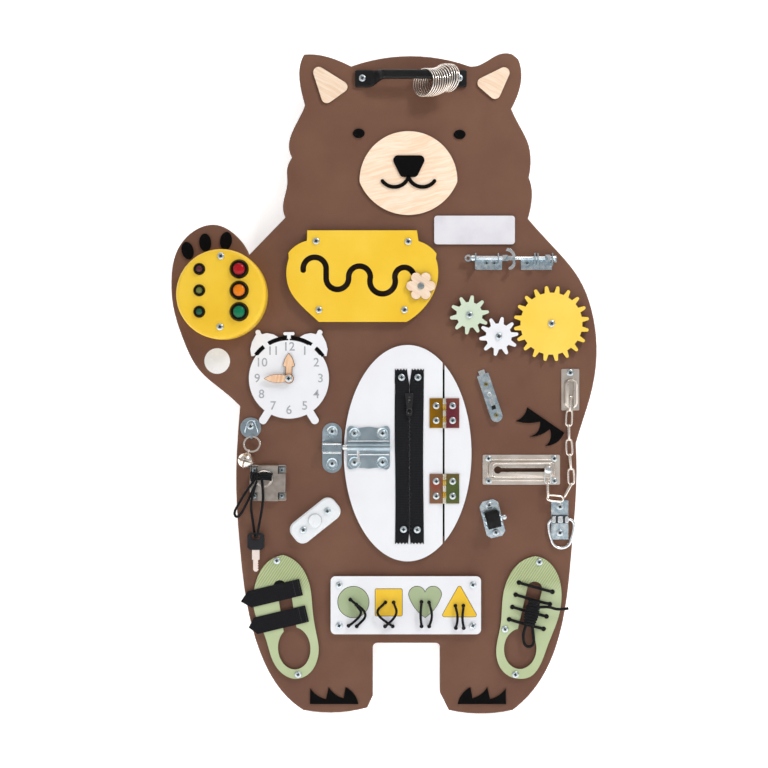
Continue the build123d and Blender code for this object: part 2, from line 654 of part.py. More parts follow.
def zip_tapes():
    """Two tapes and the closed row of teeth between them; the tapes part at the top."""
    length = ZIP_TOP - ZIP_BOTTOM
    middle = (ZIP_TOP + ZIP_BOTTOM) / 2
    pieces = []
    teeth_half = ZIP_TEETH_W / 2
    for side in (-1, 1):
        tape = Pos(side * (ZIP_TAPE_W / 2 + teeth_half), 0) * Rectangle(ZIP_TAPE_W, length)
        pieces.append(slab(tape, 0, ZIP_TAPE_T))
    teeth = Box(ZIP_TEETH_W, length - 34, ZIP_TEETH_T, align=BOTTOM)
    pieces.append(Pos(0, -3) * teeth)
    tapes = [placed(piece, ZIP_X, middle, rise=DOOR_FRONT) for piece in pieces]
    return [drilled(piece, ZIP_SCREWS, SCREW_HOLE) for piece in tapes]


SLIDER_Y = -20.0
SLIDER_W, SLIDER_H = 11.0, 15.0


def zip_slider():
    """The slider body that rides over the teeth, with the bridge that carries its pull."""
    top = ZIP_TEETH_T + LIFT
    body = rounded([(-SLIDER_W / 2, SLIDER_H / 2), (SLIDER_W / 2, SLIDER_H / 2), (SLIDER_W * 0.36, -SLIDER_H / 2),
                    (-SLIDER_W * 0.36, -SLIDER_H / 2)], 1.6)
    slider = slab(body, ZIP_TAPE_T + LIFT, ZIP_TEETH_T + 1.4 - ZIP_TAPE_T)
    slider -= Box(ZIP_TEETH_W + 2 * LIFT, 2 * SLIDER_H, top, align=BOTTOM)
    crown = top + 1.1
    bridge = Rot(0, 90, 0) * Cylinder(3.8, 2.4) - Rot(0, 90, 0) * Cylinder(2.6, 4)
    bridge &= Box(10, 10, 10, align=BOTTOM)
    slider += Pos(0, 0, crown - 0.2) * bridge
    return placed(slider, ZIP_X, SLIDER_Y, rise=DOOR_FRONT)


PULL_Z = DOOR_FRONT + ZIP_TEETH_T + LIFT + 2.3


def zip_pull():
    """The tab: it hangs from the bridge by a slot at its top."""
    tab = Pos(0, -10.4) * RectangleRounded(7.0, 22.0, 2.6)
    tab -= Pos(0, -2.7) * Rectangle(3.0, 4.2)
    tab -= Pos(0, -15.5) * SlotOverall(7, 3, rotation=90)
    return placed(slab(tab, -0.5, 1.0), ZIP_X, SLIDER_Y, rise=PULL_Z)


# ------------------------------------------------------------------ bolts and latches
BOLT_R = LATCH_BORE_R - SLIDE_GAP
BOLT_Z = DOOR_FRONT + STEEL_T + LATCH_BORE_R
BOLT_Y = LATCH_Y + 0.7
BOLT_TIP_X = -82.2
LUG_X = -62.0
LUG_W = 3.4
LUG_Z = BOLT_Z + 0.8
LUG_BACK, LUG_FORWARD = 18.0, 10.0


def tunnel(width, bore_r, wall, floor):
    """A pressed channel along x over a flat floor: square-shouldered below, round on top."""
    outer = Pos(0, bore_r) * Circle(bore_r + wall) + Pos(0, bore_r / 2) * Rectangle(2 * (bore_r + wall), bore_r)
    inner = Pos(0, bore_r) * Circle(bore_r) + Pos(0, bore_r / 2) * Rectangle(2 * bore_r, bore_r)
    section = Plane.YZ * (outer - inner)
    return Pos(-width / 2, 0, floor) * extrude(section, amount=width)


def door_latch_plate():
    """A pressed plate with a raised channel for the bolt and a slot for the bolt's lug."""
    edge = outline([(-LATCH_W / 2, 22), (-23, 27), (-15, 25.2), (0, 26), (15, 25.2), (23, 27), (LATCH_W / 2, 22)],
                   [(LATCH_W / 2, 22), (LATCH_W / 2, -22)],
                   [(LATCH_W / 2, -22), (23, -27), (15, -25.2), (0, -26), (-15, -25.2), (-23, -27),
                    (-LATCH_W / 2, -22)],
                   [(-LATCH_W / 2, -22), (-LATCH_W / 2, 22)])
    plate = placed(slab(edge, DOOR_FRONT, STEEL_T), LATCH_X, LATCH_Y)
    plate += Pos(LATCH_X, BOLT_Y) * tunnel(LATCH_W, LATCH_BORE_R, LATCH_WALL, DOOR_FRONT + STEEL_T)
    lug_left, lug_right = LUG_X - LUG_FORWARD - LUG_W, LUG_X + LUG_BACK + LUG_W
    slot = Box(lug_right - lug_left, 14, LUG_W + 1.0)
    plate -= Pos((lug_left + lug_right) / 2, BOLT_Y - 7, LUG_Z) * slot
    return drilled(plate, LATCH_SCREWS, SCREW_HOLE)


def door_latch_bolt():
    """The round bolt and the lug that a finger pushes."""
    length = LATCH_X + LATCH_W / 2 - LUG_BACK - 2 - BOLT_TIP_X
    bolt = Pos(BOLT_TIP_X + length / 2, BOLT_Y, BOLT_Z) * Rot(0, 90, 0) * Cylinder(BOLT_R, length)
    bolt = chamfer(bolt.edges().group_by(Axis.X)[0], 1.0)
    lug = Pos(LUG_X, BOLT_Y - 9.2, LUG_Z) * Box(LUG_W, 18.4, LUG_W)
    return bolt + lug


KEEPER_SCREWS = [(KEEPER_X, BOLT_Y + 19.5), (KEEPER_X, BOLT_Y - 20.5)]


def latch_keeper():
    """The strap on the board that the door's bolt runs into."""
    strap = slab(SlotOverall(KEEPER_H, KEEPER_W, rotation=90), FACE, STEEL_T)
    strap = placed(strap, KEEPER_X, BOLT_Y - 1)
    rise = BOLT_Z + BOLT_R + SLIDE_GAP - FACE - STEEL_T
    half = BOLT_R + SLIDE_GAP
    hoop = Pos(KEEPER_X, BOLT_Y, FACE + STEEL_T) * Box(KEEPER_W, 2 * (half + 3), rise + LATCH_WALL, align=BOTTOM)
    hoop = chamfer(hoop.edges().filter_by(Axis.X).group_by(Axis.Z)[-1], 2.5)
    hoop -= Pos(KEEPER_X, BOLT_Y, FACE + STEEL_T) * Box(2 * KEEPER_W, 2 * half, rise, align=BOTTOM)
    return drilled(strap + hoop, KEEPER_SCREWS, SCREW_HOLE)


def on_flush(dx, down):
    """A point on the flush bolt: across its strip, and down from the middle of its top edge."""
    return spot(FLUSH_TOP[0], FLUSH_TOP[1], FLUSH_TILT, dx, -down)


FLUSH_SCREWS = [on_flush(0, 13.0), on_flush(0, 53.5)]
THUMB_DOWN = 43.0
TONGUE_W, TONGUE_T = 8.0, 2.2


def flush_bolt_case():
    """A shallow channel with a rounded foot; the tongue runs between its folded sides."""
    half = FLUSH_W / 2
    strip = outline([(-half, 0), (half, 0)], [(half, 0), (half, half - FLUSH_LEN)],
                    [(half, half - FLUSH_LEN), (0, -FLUSH_LEN), (-half, half - FLUSH_LEN)],
                    [(-half, half - FLUSH_LEN), (-half, 0)])
    case = slab(strip, 0, FLUSH_DEPTH)
    run = THUMB_DOWN + 4
    case -= Pos(0, -run / 2 + 1, -1) * Box(TONGUE_W + 2 * SLIDE_GAP, run + 2, TONGUE_T + 2 * SLIDE_GAP + 1, align=BOTTOM)
    case -= Pos(0, -THUMB_DOWN + FLUSH_TRAVEL / 2) * Box(4.5 + 2 * SLIDE_GAP, FLUSH_TRAVEL + 5.6, 4 * FLUSH_DEPTH)
    case = placed(case, *FLUSH_TOP, turn=FLUSH_TILT, rise=FACE)
    return drilled(case, FLUSH_SCREWS, SCREW_HOLE)


def flush_bolt_tongue():
    """The flat tongue with its square thumb piece, which runs up out of the case."""
    length = THUMB_DOWN + 8.5
    tongue = Pos(0, 7.0 - length / 2, SLIDE_GAP) * Box(TONGUE_W, length - 3.0, TONGUE_T, align=BOTTOM)
    hole = Pos(0, -13.0) * SlotOverall(FLUSH_TRAVEL + SCREW_D + 2, SCREW_D + 1.2, rotation=90)
    tongue -= slab(Pos(0, -FLUSH_TRAVEL / 2) * hole, -1, 6)
    thumb = Pos(0, -THUMB_DOWN, SLIDE_GAP + TONGUE_T / 2) * Box(4.5, 4.5, FLUSH_DEPTH + 2.5, align=BOTTOM)
    return placed(tongue + thumb, *FLUSH_TOP, turn=FLUSH_TILT, rise=FACE)


ROD_Z = FACE + ROD_RISE
ROD_SCREWS = [(98.2, 149.6), (107.6, 149.6), (148.4, 149.6)]
EAR_T = 1.6


def rod_bracket(x0, x1, low, high, ears):
    """A flat foot with upright ears that the rod passes through."""
    foot = Pos((x0 + x1) / 2, (low + high) / 2, FACE) * Box(x1 - x0, high - low, STEEL_T, align=BOTTOM)
    for x, ear_low in ears:
        top = ROD_Y + ROD_D / 2 + 3.5
        ear = Pos(x, (ear_low + top) / 2, FACE) * Box(EAR_T, top - ear_low, ROD_RISE + ROD_D / 2 + 2.5, align=BOTTOM)
        foot += ear
    bore = Pos((x0 + x1) / 2, ROD_Y, ROD_Z) * Rot(0, 90, 0) * Cylinder(ROD_D / 2 + TURN_GAP, x1 - x0 + 10)
    return drilled(foot - bore, ROD_SCREWS, SCREW_HOLE)


def bolt_brackets():
    left = rod_bracket(83.0, 117.5, 141.5, 159.0, [(83.8, 141.5), (112.0, 148.0)])
    right = rod_bracket(141.0, 180.0, 141.5, 154.0, [(157.4, 148.0), (161.2, 148.0), (179.2, 146.0)])
    return [left, right, latch_keeper(), flush_bolt_case()]


def latch_rod():
    """A rod that turns in the ears, with an eye, a collar, a curved grip, a square nut and a short hook."""
    rod = Rot(0, 90, 0) * Cylinder(ROD_D / 2, 105)
    rod = Pos(78.0 + 52.5, 0, 0) * rod
    collar = Pos(80.7, 0, 0) * Rot(0, 90, 0) * Cylinder(4.2, 3.6)
    eye = Pos(74.6, 0, 0) * (Cylinder(4.4, 2.6) - Cylinder(2.2, 4))
    block = Pos(120.6, 0, 0) * Box(6.4, 7.6, 7.6)
    grip_path = outline([(123, 12.5), (131, 8), (132.6, -4)], [(132.6, -4), (131.4, -12), (127, -14.5)],
                        [(127, -14.5), (124.6, -13), (126, -11)], [(126, -11), (129.6, -7), (129.6, -2)],
                        [(129.6, -2), (128.6, 5), (121.2, 8.6)], [(121.2, 8.6), (123, 12.5)])
    grip = slab(grip_path, 1.0, 3.0) + Pos(127, 0, 0) * Box(8, 5.5, 5.5)
    nut = Pos(173.5, 0, 0) * Box(6.6, 8.0, 8.0)
    hook = Pos(183.0, -1.2, 0) * Box(3.4, 8.5, 4.4)
    return Pos(0, ROD_Y, ROD_Z) * (rod + collar + eye + block + grip + nut + hook)


# ------------------------------------------------------------------ door chain
CHAIN_Z = FACE + CHAIN_RISE
LINK_CLEAR = 0.15
LINK_LONG = LINK_PITCH + 2 * LINK_CLEAR + 2 * LINK_WIRE
ANCHOR_PIN_Y = -17.2
FIRST_LINK_Y = ANCHOR_PIN_Y - (LINK_LONG / 2 - LINK_WIRE) + LINK_WIRE / 2 + LINK_CLEAR
KNOB_LINK_Z = FACE + 9.6


def link():
    """One chain link, its long way along y, drawn flat: a loop of wire with its round ends bent in steps."""
    mid_w, mid_l = (LINK_W - LINK_WIRE) / 2, (LINK_LONG - LINK_W) / 2
    corners = []
    for end in (1, -1):
        for step in range(6):
            angle = math.radians(36 * step)
            corners.append((end * mid_w * math.cos(angle), end * (mid_l + mid_w * math.sin(angle))))
    path = Polyline(*corners, corners[0])
    start = Plane(path @ 0, x_dir=(0, 0, 1), z_dir=path % 0)
    return sweep(start * RegularPolygon(LINK_WIRE / 2, 6), path=path, transition=Transition.RIGHT)


def chain_upper():
    """The run of links that hangs from the anchor, face-on and edge-on in turn, its last link askew."""
    pieces = []
    for i in range(6):
        piece = link() if i % 2 else Rot(0, 90, 0) * link()
        pieces.append(Pos(ANCHOR_X + 0.6, FIRST_LINK_Y - i * LINK_PITCH, CHAIN_Z) * piece)
    end_y = FIRST_LINK_Y - 5.5 * LINK_PITCH
    askew = Rot(0, 0, -28) * Pos(0, -LINK_PITCH / 2 + LINK_CLEAR, 0) * Rot(0, 90, 0) * link()
    return pieces + [Pos(ANCHOR_X + 0.6, end_y, CHAIN_Z) * askew]


KNOB_LINK_Y = KNOB_Y + 2.0 + LINK_CLEAR - (LINK_LONG / 2 - LINK_WIRE)
LOWER_PIVOT_Y = KNOB_LINK_Y - LINK_PITCH / 2


def chain_lower():
    """The short run that hangs from the knob's link: one link on edge and one that lies level."""
    on_edge = Pos(KNOB_X, KNOB_LINK_Y - LINK_PITCH, KNOB_LINK_Z) * Rot(0, 90, 0) * link()
    end_y = KNOB_LINK_Y - 1.5 * LINK_PITCH
    level = Pos(KNOB_X, end_y, KNOB_LINK_Z) * Rot(0, 0, 84) * Pos(0, -LINK_PITCH / 2, 0) * link()
    return [on_edge, level]


def chain_knob():
    """The knob: a disc behind the slot, a neck, a groove that holds a link, and a head."""
    channel_top = STEEL_T + 7.0
    knob = turned([(0, 3.0), (4.2, 3.0), (4.2, 5.2), (2.0, 5.2), (2.0, channel_top - 0.5), (4.6, channel_top - 0.5),
                   (4.6, channel_top + 0.2), (2.0, channel_top + 0.2), (2.0, KNOB_LINK_Z - FACE + 1.3),
                   (KNOB_D / 2, KNOB_LINK_Z - FACE + 1.3), (KNOB_D * 0.4, KNOB_LINK_Z - FACE + 4.0),
                   (0, KNOB_LINK_Z - FACE + 4.4)])
    return [placed(knob, KNOB_X, KNOB_Y, rise=FACE), Pos(KNOB_X, KNOB_LINK_Y, KNOB_LINK_Z) * link()]


ANCHOR_SCREWS = [(202.4, 13.0)]
KEEPER_PLATE_SCREWS = [(KEEPER_PLATE[0] + dx, KEEPER_PLATE[1] + dy) for dx in (-41, 41) for dy in (-14, 14)]


def chain_plates():
    """The anchor, whose cheeks hold the chain's pin, and the keeper with its keyhole slot."""
    plate = slab(RectangleRounded(ANCHOR_W, ANCHOR_H, 1.5), 0, STEEL_T)
    boss_h, slot_w = CHAIN_RISE + 2.6, LINK_WIRE + 3.6
    boss = slab(Pos(0, -5) * SlotOverall(38, 17, rotation=90), 0, boss_h)
    boss = chamfer(boss.faces().sort_by(Axis.Z)[-1].edges(), 2.0)
    anchor = plate + boss
    anchor -= Pos(0.6, -10, STEEL_T) * Box(slot_w, 40, 20, align=BOTTOM)
    anchor = placed(anchor, ANCHOR_X, ANCHOR_TOP - ANCHOR_H / 2, rise=FACE)
    anchor += Pos(ANCHOR_X, ANCHOR_PIN_Y, CHAIN_Z) * Rot(0, 90, 0) * Cylinder(LINK_WIRE / 2 - 0.2, 14)
    x, y, width, height = KEEPER_PLATE
    keeper = slab(RectangleRounded(width, height, 2.0), 0, STEEL_T)
    channel = slab(RectangleRounded(width - 13, 20.4, 5), 0, STEEL_T + 5.2)
    channel = chamfer(channel.faces().sort_by(Axis.Z)[-1].edges(), 1.5)
    keeper += channel
    keeper -= Pos(0, 0, -1) * Box(width - 18, 16, 1 + STEEL_T + 4.0, align=BOTTOM)
    keyhole_x = KNOB_X - KNOB_TRAVEL - 10 - x
    slot_right = KNOB_X - x + 2.6
    slot_left = keyhole_x
    slot = Pos((slot_left + slot_right) / 2, 0) * Rectangle(slot_right - slot_left, 4.8)
    keeper -= slab(slot + Pos(keyhole_x, 0) * Circle(4.6), 0, 12)
    keeper = placed(keeper, x, y, rise=FACE)
    return [drilled(anchor, ANCHOR_SCREWS, SCREW_HOLE), drilled(keeper, KEEPER_PLATE_SCREWS, SCREW_HOLE)]


# ------------------------------------------------------------------ tie ring and castor
TIE_SCREWS = [(TIE_X, -154.5), (TIE_X, -187.0)]
TIE_Z = FACE + STEEL_T + TIE_WIRE / 2 + SLIDE_GAP
WHEEL_Z = FACE + STEEL_T + WHEEL_D / 2 + 1.0
CASTOR_SCREWS = [spot(CASTOR_X, CASTOR_Y, CASTOR_TILT, 0, dy) for dy in (-17.5, 17.5)]


def tie_ring_plate():
    """A strip with a pressed half-round band over the ring's bar."""
    strip = Pos(TIE_X, (TIE_TOP + TIE_BOTTOM) / 2, FACE) * Box(TIE_W, TIE_TOP - TIE_BOTTOM, STEEL_T, align=BOTTOM)
    strip += Pos(TIE_X, TIE_AXIS_Y) * tunnel(TIE_W - 6, TIE_WIRE / 2 + SLIDE_GAP, LATCH_WALL, FACE + STEEL_T)
    return drilled(strip, TIE_SCREWS, SCREW_HOLE)


def tie_ring():
    """A D of round wire: a straight bar in the band, and a deep round bow below it."""
    half, drop = (TIE_RING_W - TIE_WIRE) / 2, TIE_RING_DROP
    shoulder = 5.5
    path = Wire([
        Edge.make_line((half - shoulder, 0), (shoulder - half, 0)),
        Edge.make_three_point_arc((shoulder - half, 0), (-half + 1.6, -2.6), (-half, -shoulder)),
        Edge.make_three_point_arc((-half, -shoulder), (-half * 0.95, -drop * 0.42), (-half * 0.76, -drop * 0.72)),
        Edge.make_three_point_arc((-half * 0.76, -drop * 0.72), (0, -drop), (half * 0.76, -drop * 0.72)),
        Edge.make_three_point_arc((half * 0.76, -drop * 0.72), (half * 0.95, -drop * 0.42), (half, -shoulder)),
        Edge.make_three_point_arc((half, -shoulder), (half - 1.6, -2.6), (half - shoulder, 0)),
    ])
    section = Plane(path @ 0, x_dir=(0, 1, 0), z_dir=path % 0) * RegularPolygon(TIE_WIRE / 2, 8)
    return Pos(TIE_X + 1.5, TIE_AXIS_Y, TIE_Z) * sweep(section, path=path, transition=Transition.ROUND)


def castor_fork():
    """A foot plate with clipped corners and two cheeks that carry the wheel's axle."""
    foot = slab(chamfer(Rectangle(CASTOR_W, CASTOR_H).vertices(), 5), 0, STEEL_T)
    cheek_x = WHEEL_W / 2 + LIFT + 1.0
    axle_z = WHEEL_Z - FACE
    for side in (-1, 1):
        cheek = Pos(side * cheek_x, 0, 0) * Box(1.6, 18, axle_z, align=BOTTOM)
        cheek += Pos(side * cheek_x, 0, axle_z) * Rot(0, 90, 0) * Cylinder(6, 1.6)
        foot += cheek
    foot += Pos(0, 0, axle_z) * Rot(0, 90, 0) * Cylinder(2.5, 2 * cheek_x + 3)
    foot = placed(foot, CASTOR_X, CASTOR_Y, turn=CASTOR_TILT, rise=FACE)
    return drilled(foot, CASTOR_SCREWS, SCREW_HOLE)


def castor_wheel():
    wheel = Rot(0, 90, 0) * (Cylinder(WHEEL_D / 2, WHEEL_W) - Cylinder(2.5 + TURN_GAP, WHEEL_W + 2))
    return placed(wheel, CASTOR_X, CASTOR_Y, turn=CASTOR_TILT, rise=WHEEL_Z)


# ------------------------------------------------------------------ bell set
LUG_Y = BELL_Y - 11.0
RING_TILT = 22.0
RING_WALL = 1.6
BELL_TURN = 20.0


def bell_disc():
    """A round plate with a lug that stands out, bored for the split ring."""
    plate = disc(BELL_X, BELL_Y, FACE, BELL_DISC_D, STEEL_T + 0.5)
    lug = Pos(BELL_X + 1.5, LUG_Y, FACE) * Box(2.4, 5.0, 7.0, align=BOTTOM)
    lug -= Pos(BELL_X + 1.5, LUG_Y, FACE + 4.6) * Rot(0, 90, 0) * Cylinder(1.4, 10)
    return drilled(plate + lug, [(BELL_X, BELL_Y + 2)], SCREW_HOLE)


RING_TOP = (BELL_X + 1.5, LUG_Y, FACE + 4.6)
RING_MID_R = SPLIT_RING_D / 2 - 0.9
RING_PLACE = Pos(*RING_TOP) * Rot(-RING_TILT, 0, 0) * Pos(0.8, -RING_MID_R, 0)


def bell_ring():
    """A split ring that hangs from the lug and leans out over the bell."""
    outer, inner, wall = RING_MID_R + 0.9, RING_MID_R - 0.9, RING_WALL / 2
    return RING_PLACE * turned([(inner, -wall), (outer, -wall), (outer, wall), (inner, wall)])


BELL_PLACE = RING_PLACE * Rot(0, 0, -BELL_TURN) * Pos(0, -RING_MID_R, 0) * Rot(RING_TILT, 0, 0)


def ball(radius, bands):
    """A turned ball in flat bands."""
    angles = [math.pi * i / bands - math.pi / 2 for i in range(bands + 1)]
    return turned([(radius * abs(math.cos(a)) if 0 < i < bands else 0, radius * math.sin(a))
                   for i, a in enumerate(angles)])


def jingle_bell():
    """A round bell with a cross slot, hung from the ring by an eye."""
    outer_r = JINGLE_D / 2
    shell = ball(outer_r, 9) - ball(outer_r - 0.8, 7)
    slot = Box(2.0, JINGLE_D + 2, JINGLE_D, align=BOTTOM)
    shell -= Pos(0, 0, 1.5) * slot + Pos(0, 0, 1.5) * Rot(0, 0, 90) * slot
    eye = Rot(0, 90, 0) * (Cylinder(2.5, 1.6) - Cylinder(1.4, 4))
    return BELL_PLACE * (Pos(0, -outer_r - 2.0, 0) * shell + eye)


# ------------------------------------------------------------------ lock, key and cord
LOCK_SCREWS = [(LOCK_X + dx, LOCK_Y + dy) for dx, dy in ((-17, 16), (17, 16), (17, -16), (-17, -16))]


def lock_case():
    """A shallow square case with a pocket in each corner for its screws, and the boss of the cylinder."""
    case = slab(RectangleRounded(LOCK_SIZE, LOCK_SIZE, 2.0), 0, LOCK_DEPTH)
    case = chamfer(case.faces().sort_by(Axis.Z)[-1].edges(), 1.0)
    for dx in (-17, 17):
        for dy in (-16, 16):
            case -= Pos(dx + math.copysign(3, dx), dy + math.copysign(3, dy), STEEL_T) * Box(15, 15, 20, align=BOTTOM)
    bore = disc(CYLINDER_X - LOCK_X, CYLINDER_Y - LOCK_Y, 2.0, CYLINDER_D + 2 * TURN_GAP, 20)
    case = placed(case - bore, LOCK_X, LOCK_Y, rise=FACE)
    return drilled(case, LOCK_SCREWS, SCREW_HOLE)


def lock_cylinder():
    """The turning plug, with its keyway."""
    plug = disc(0, 0, 2.0 + LIFT, CYLINDER_D, LOCK_DEPTH - 2.0 - LIFT)
    plug += disc(0, 0, LOCK_DEPTH, CYLINDER_D - 3.2, 3.3) - Pos(0, 0, LOCK_DEPTH) * Box(2.4, 10, 6, align=BOTTOM)
    return placed(plug, CYLINDER_X, CYLINDER_Y, rise=FACE)


KEY_Z = FACE + 8.0
TIE_REST_Z = FACE + LOCK_DEPTH + 3.3 + LIFT + CORD_D / 2 + 0.1
LEFT_LOOP = [(-188.0, -117.0, TIE_REST_Z), (-199.0, -131.0, TIE_REST_Z), (-210.0, -149.0, 25.0),
             (-217.0, -161.0, 21.5), (-214.5, -168.0, 20.5), (-208.0, -163.5, 21.5), (-200.0, -148.0, 26.0),
             (-190.5, -128.0, TIE_REST_Z + 0.5)]
EYE_DROP = 5.5
EYE_Y = KEY_TOP - EYE_DROP
KEY_LOOP = [(-182.0, -117.0, TIE_REST_Z), (-179.8, -134.0, TIE_REST_Z + 0.5), (-180.6, -152.0, 28.5),
            (-184.0, -170.0, 27.6), (KEY_X + 1.6, EYE_Y, KEY_Z + 4.4), (KEY_X - 1.6, EYE_Y, KEY_Z - 4.4),
            (-193.6, -170.0, 22.0), (-195.6, -154.0, 27.0), (-193.0, -137.0, TIE_REST_Z + 1.0),
            (-187.5, -121.5, TIE_REST_Z + 3.4)]


def cord_radii(points):
    """Each bend as large as its two runs allow."""
    radii = []
    for before, here, after in zip(points, points[1:], points[2:]):
        run_in, run_out = Vector(*here) - Vector(*before), Vector(*after) - Vector(*here)
        turn = run_in.get_angle(run_out)
        radii.append(0.45 * min(run_in.length, run_out.length) / math.tan(math.radians(turn / 2)))
    return radii


def cord(points, diameter):
    """A cord: straight runs joined by tangent arcs."""
    radii = cord_radii(points)
    path = FilletPolyline(*points, radius=radii)
    section = Plane(path @ 0, z_dir=path % 0) * RegularPolygon(diameter / 2, 6)
    return sweep(section, path=path)


def key_cord():
    return [cord(LEFT_LOOP, CORD_D), cord(KEY_LOOP, CORD_D)]


def key():
    """A key with a moulded head, bored for its cord, and a flat toothed blade."""
    head = chamfer(Rectangle(KEY_HEAD_W, KEY_HEAD_H).vertices(), 3)
    head -= Pos(0, KEY_HEAD_H / 2 - EYE_DROP + 0.6) * SlotOverall(11, 6)
    bow = slab(head, -KEY_T / 2, KEY_T)
    blade = Pos(0, -KEY_HEAD_H / 2 - KEY_BLADE_L / 2) * Rectangle(KEY_BLADE_W, KEY_BLADE_L)
    blade = chamfer(blade.vertices().sort_by(Axis.Y)[:2], 2)
    blade += Pos(0, -KEY_HEAD_H / 2 - KEY_SHOULDER_L / 2) * Rectangle(KEY_SHOULDER_W, KEY_SHOULDER_L)
    for i in range(4):
        blade -= Pos(KEY_BLADE_W / 2, -KEY_HEAD_H / 2 - 14 - 3 * i) * Rot(0, 0, 45) * Rectangle(1.7, 1.7)
    pieces = [bow, slab(blade, -1.1, 2.2)]
    return [Pos(KEY_X, KEY_TOP - KEY_HEAD_H / 2, KEY_Z) * piece for piece in pieces]


# ------------------------------------------------------------------ switch
SWITCH_SCREWS = [spot(SWITCH_X, SWITCH_Y, SWITCH_TURN, dx, 0) for dx in (-18.5, 19.5)]


def switch_case():
    case = slab(RectangleRounded(SWITCH_W, SWITCH_H, 11), 0, SWITCH_T)
    case = chamfer(case.faces().sort_by(Axis.Z)[-1].edges(), 2.0)
    case -= disc(0, 0, 2.0, SWITCH_BUTTON_D + 2 * SLIDE_GAP, 20)
    case = placed(case, SWITCH_X, SWITCH_Y, turn=SWITCH_TURN, rise=FACE)
    return drilled(case, SWITCH_SCREWS, SCREW_HOLE)


def switch_button():
    button = disc(0, 0, 2.0 + SWITCH_TRAVEL + LIFT, SWITCH_BUTTON_D, SWITCH_T)
    button = chamfer(button.edges().group_by(Axis.Z)[-1], 1.0)
    return placed(button, SWITCH_X, SWITCH_Y, rise=FACE)


# ------------------------------------------------------------------ shapes plate
SHAPES_SCREWS = [(SHAPES_X + dx, SHAPES_Y + dy) for dx in (-83, 83.5) for dy in (-25.3, 25.5)]
SHAPES = {"circle": (-68.2, -272.9), "square": (-24.1, -273.3), "heart": (21.2, -272.9), "triangle": (64.0, -272.6)}
SHAPE_HOLE_D = 3.8
SHAPE_HOLES = {"circle": [(-72.0, -269.5), (-64.5, -275.7)], "square": [(-28.3, -272.9), (-18.0, -272.9)],
               "heart": [(16.7, -272.3), (26.0, -272.9)], "triangle": [(58.8, -277.0), (68.8, -277.0)]}
PLATE_HOLES = [(-63.9, -302.7), (-74.1, -302.0), (-19.2, -302.7), (-28.7, -302.7), (16.7, -302.7), (26.2, -302.7),
               (59.4, -304.8), (69.1, -304.8)]


def shape_face(name, grow=0.0):
    """A shape about its own middle; its opening in the plate is grown by the fit all round."""
    if name == "circle":
        return Circle(19.3 + grow)
    if name == "square":
        return RectangleRounded(33.4 + 2 * grow, 33.4 + 2 * grow, 1.5 + grow)
    if name == "triangle":
        face = rounded([(0, 21.5), (-22.5, -18.5), (22.5, -18.5)], 2.2)
    else:
        lobe = 10.2
        face = outline([(0, 12), (-lobe, 19.5), (-2 * lobe, 9)], [(-2 * lobe, 9), (-14, -5), (0, -19)],
                       [(0, -19), (14, -5), (2 * lobe, 9)], [(2 * lobe, 9), (lobe, 19.5), (0, 12)])
    return offset(face, amount=grow) if grow else face


def shapes_plate():
    plate = slab(RectangleRounded(SHAPES_W, SHAPES_H, SHAPES_R), 0, SHAPES_T)
    plate = placed(plate, SHAPES_X, SHAPES_Y, rise=FACE)
    for name, (x, y) in SHAPES.items():
        plate -= Pos(x, y) * slab(shape_face(name, FIT_GAP), FACE, SHAPES_T)
    plate = drilled(plate, SHAPES_SCREWS, SCREW_HOLE)
    return drilled(plate, PLATE_HOLES, SHAPE_HOLE_D)


def loose_shape(name):
    x, y = SHAPES[name]
    piece = Pos(x, y) * slab(shape_face(name), FACE + LIFT, SHAPES_T)
    return drilled(piece, SHAPE_HOLES[name], SHAPE_HOLE_D)


CORD_Z = FACE + SHAPES_T + LIFT + CORD_D / 2
TETHERS = {
    "circle": [((-72.0, -269.5), (-48.5, -286.5), (-63.9, -302.7), 4.0),
               ((-64.5, -275.7), (-55.5, -285.5), (-74.1, -302.0), 8.5)],
    "square": [((-28.3, -272.9), (-42.5, -285.5), (-19.2, -302.7), 4.0),
               ((-18.0, -272.9), (-12.5, -286.0), (-28.7, -302.7), 8.5)],
    "heart": [((16.7, -272.3), (15.0, -287.5), (16.7, -302.7), 4.0),
              ((26.0, -272.9), (30.5, -288.5), (26.2, -302.7), 4.0)],
    "triangle": [((58.8, -277.0), (62.0, -291.0), (59.4, -304.8), 4.0),
                 ((68.8, -277.0), (66.6, -291.0), (69.1, -304.8), 8.0)],
}


def tether(start, bend, end, rise):
    """One strand from a hole in a shape, over the face, into a hole in the plate."""
    inside, over = FACE + SHAPES_T - 2.5, CORD_Z + rise
    return cord([(*start, inside), (*start, over), (*bend, over + 1.0), (*end, over), (*end, inside)], CORD_D)


def shape_cord(name):
    """The two strands that keep a shape by its opening."""
    return [tether(*strand) for strand in TETHERS[name]]


# ------------------------------------------------------------------ shoes
LEFT_SHOE_SCREWS = [(-163.6, -221.6), (-137.1, -363.5)]
RIGHT_SHOE_SCREWS = [(163.6, -223.3), (120.9, -307.0), (133.8, -363.6)]
LACE_LEFT = [(138.3, -248.9), (134.3, -264.0), (130.1, -279.3), (126.1, -294.8)]
LACE_RIGHT = [(180.1, -260.4), (176.8, -275.8), (172.6, -291.1), (169.1, -306.6)]
LACE_HOLE_D = 6.0
LACE_D = 3.6
LACE_Z = FACE + ACRYLIC_T + LACE_D / 2 + LIFT
KNOT = (153.0, -281.5)


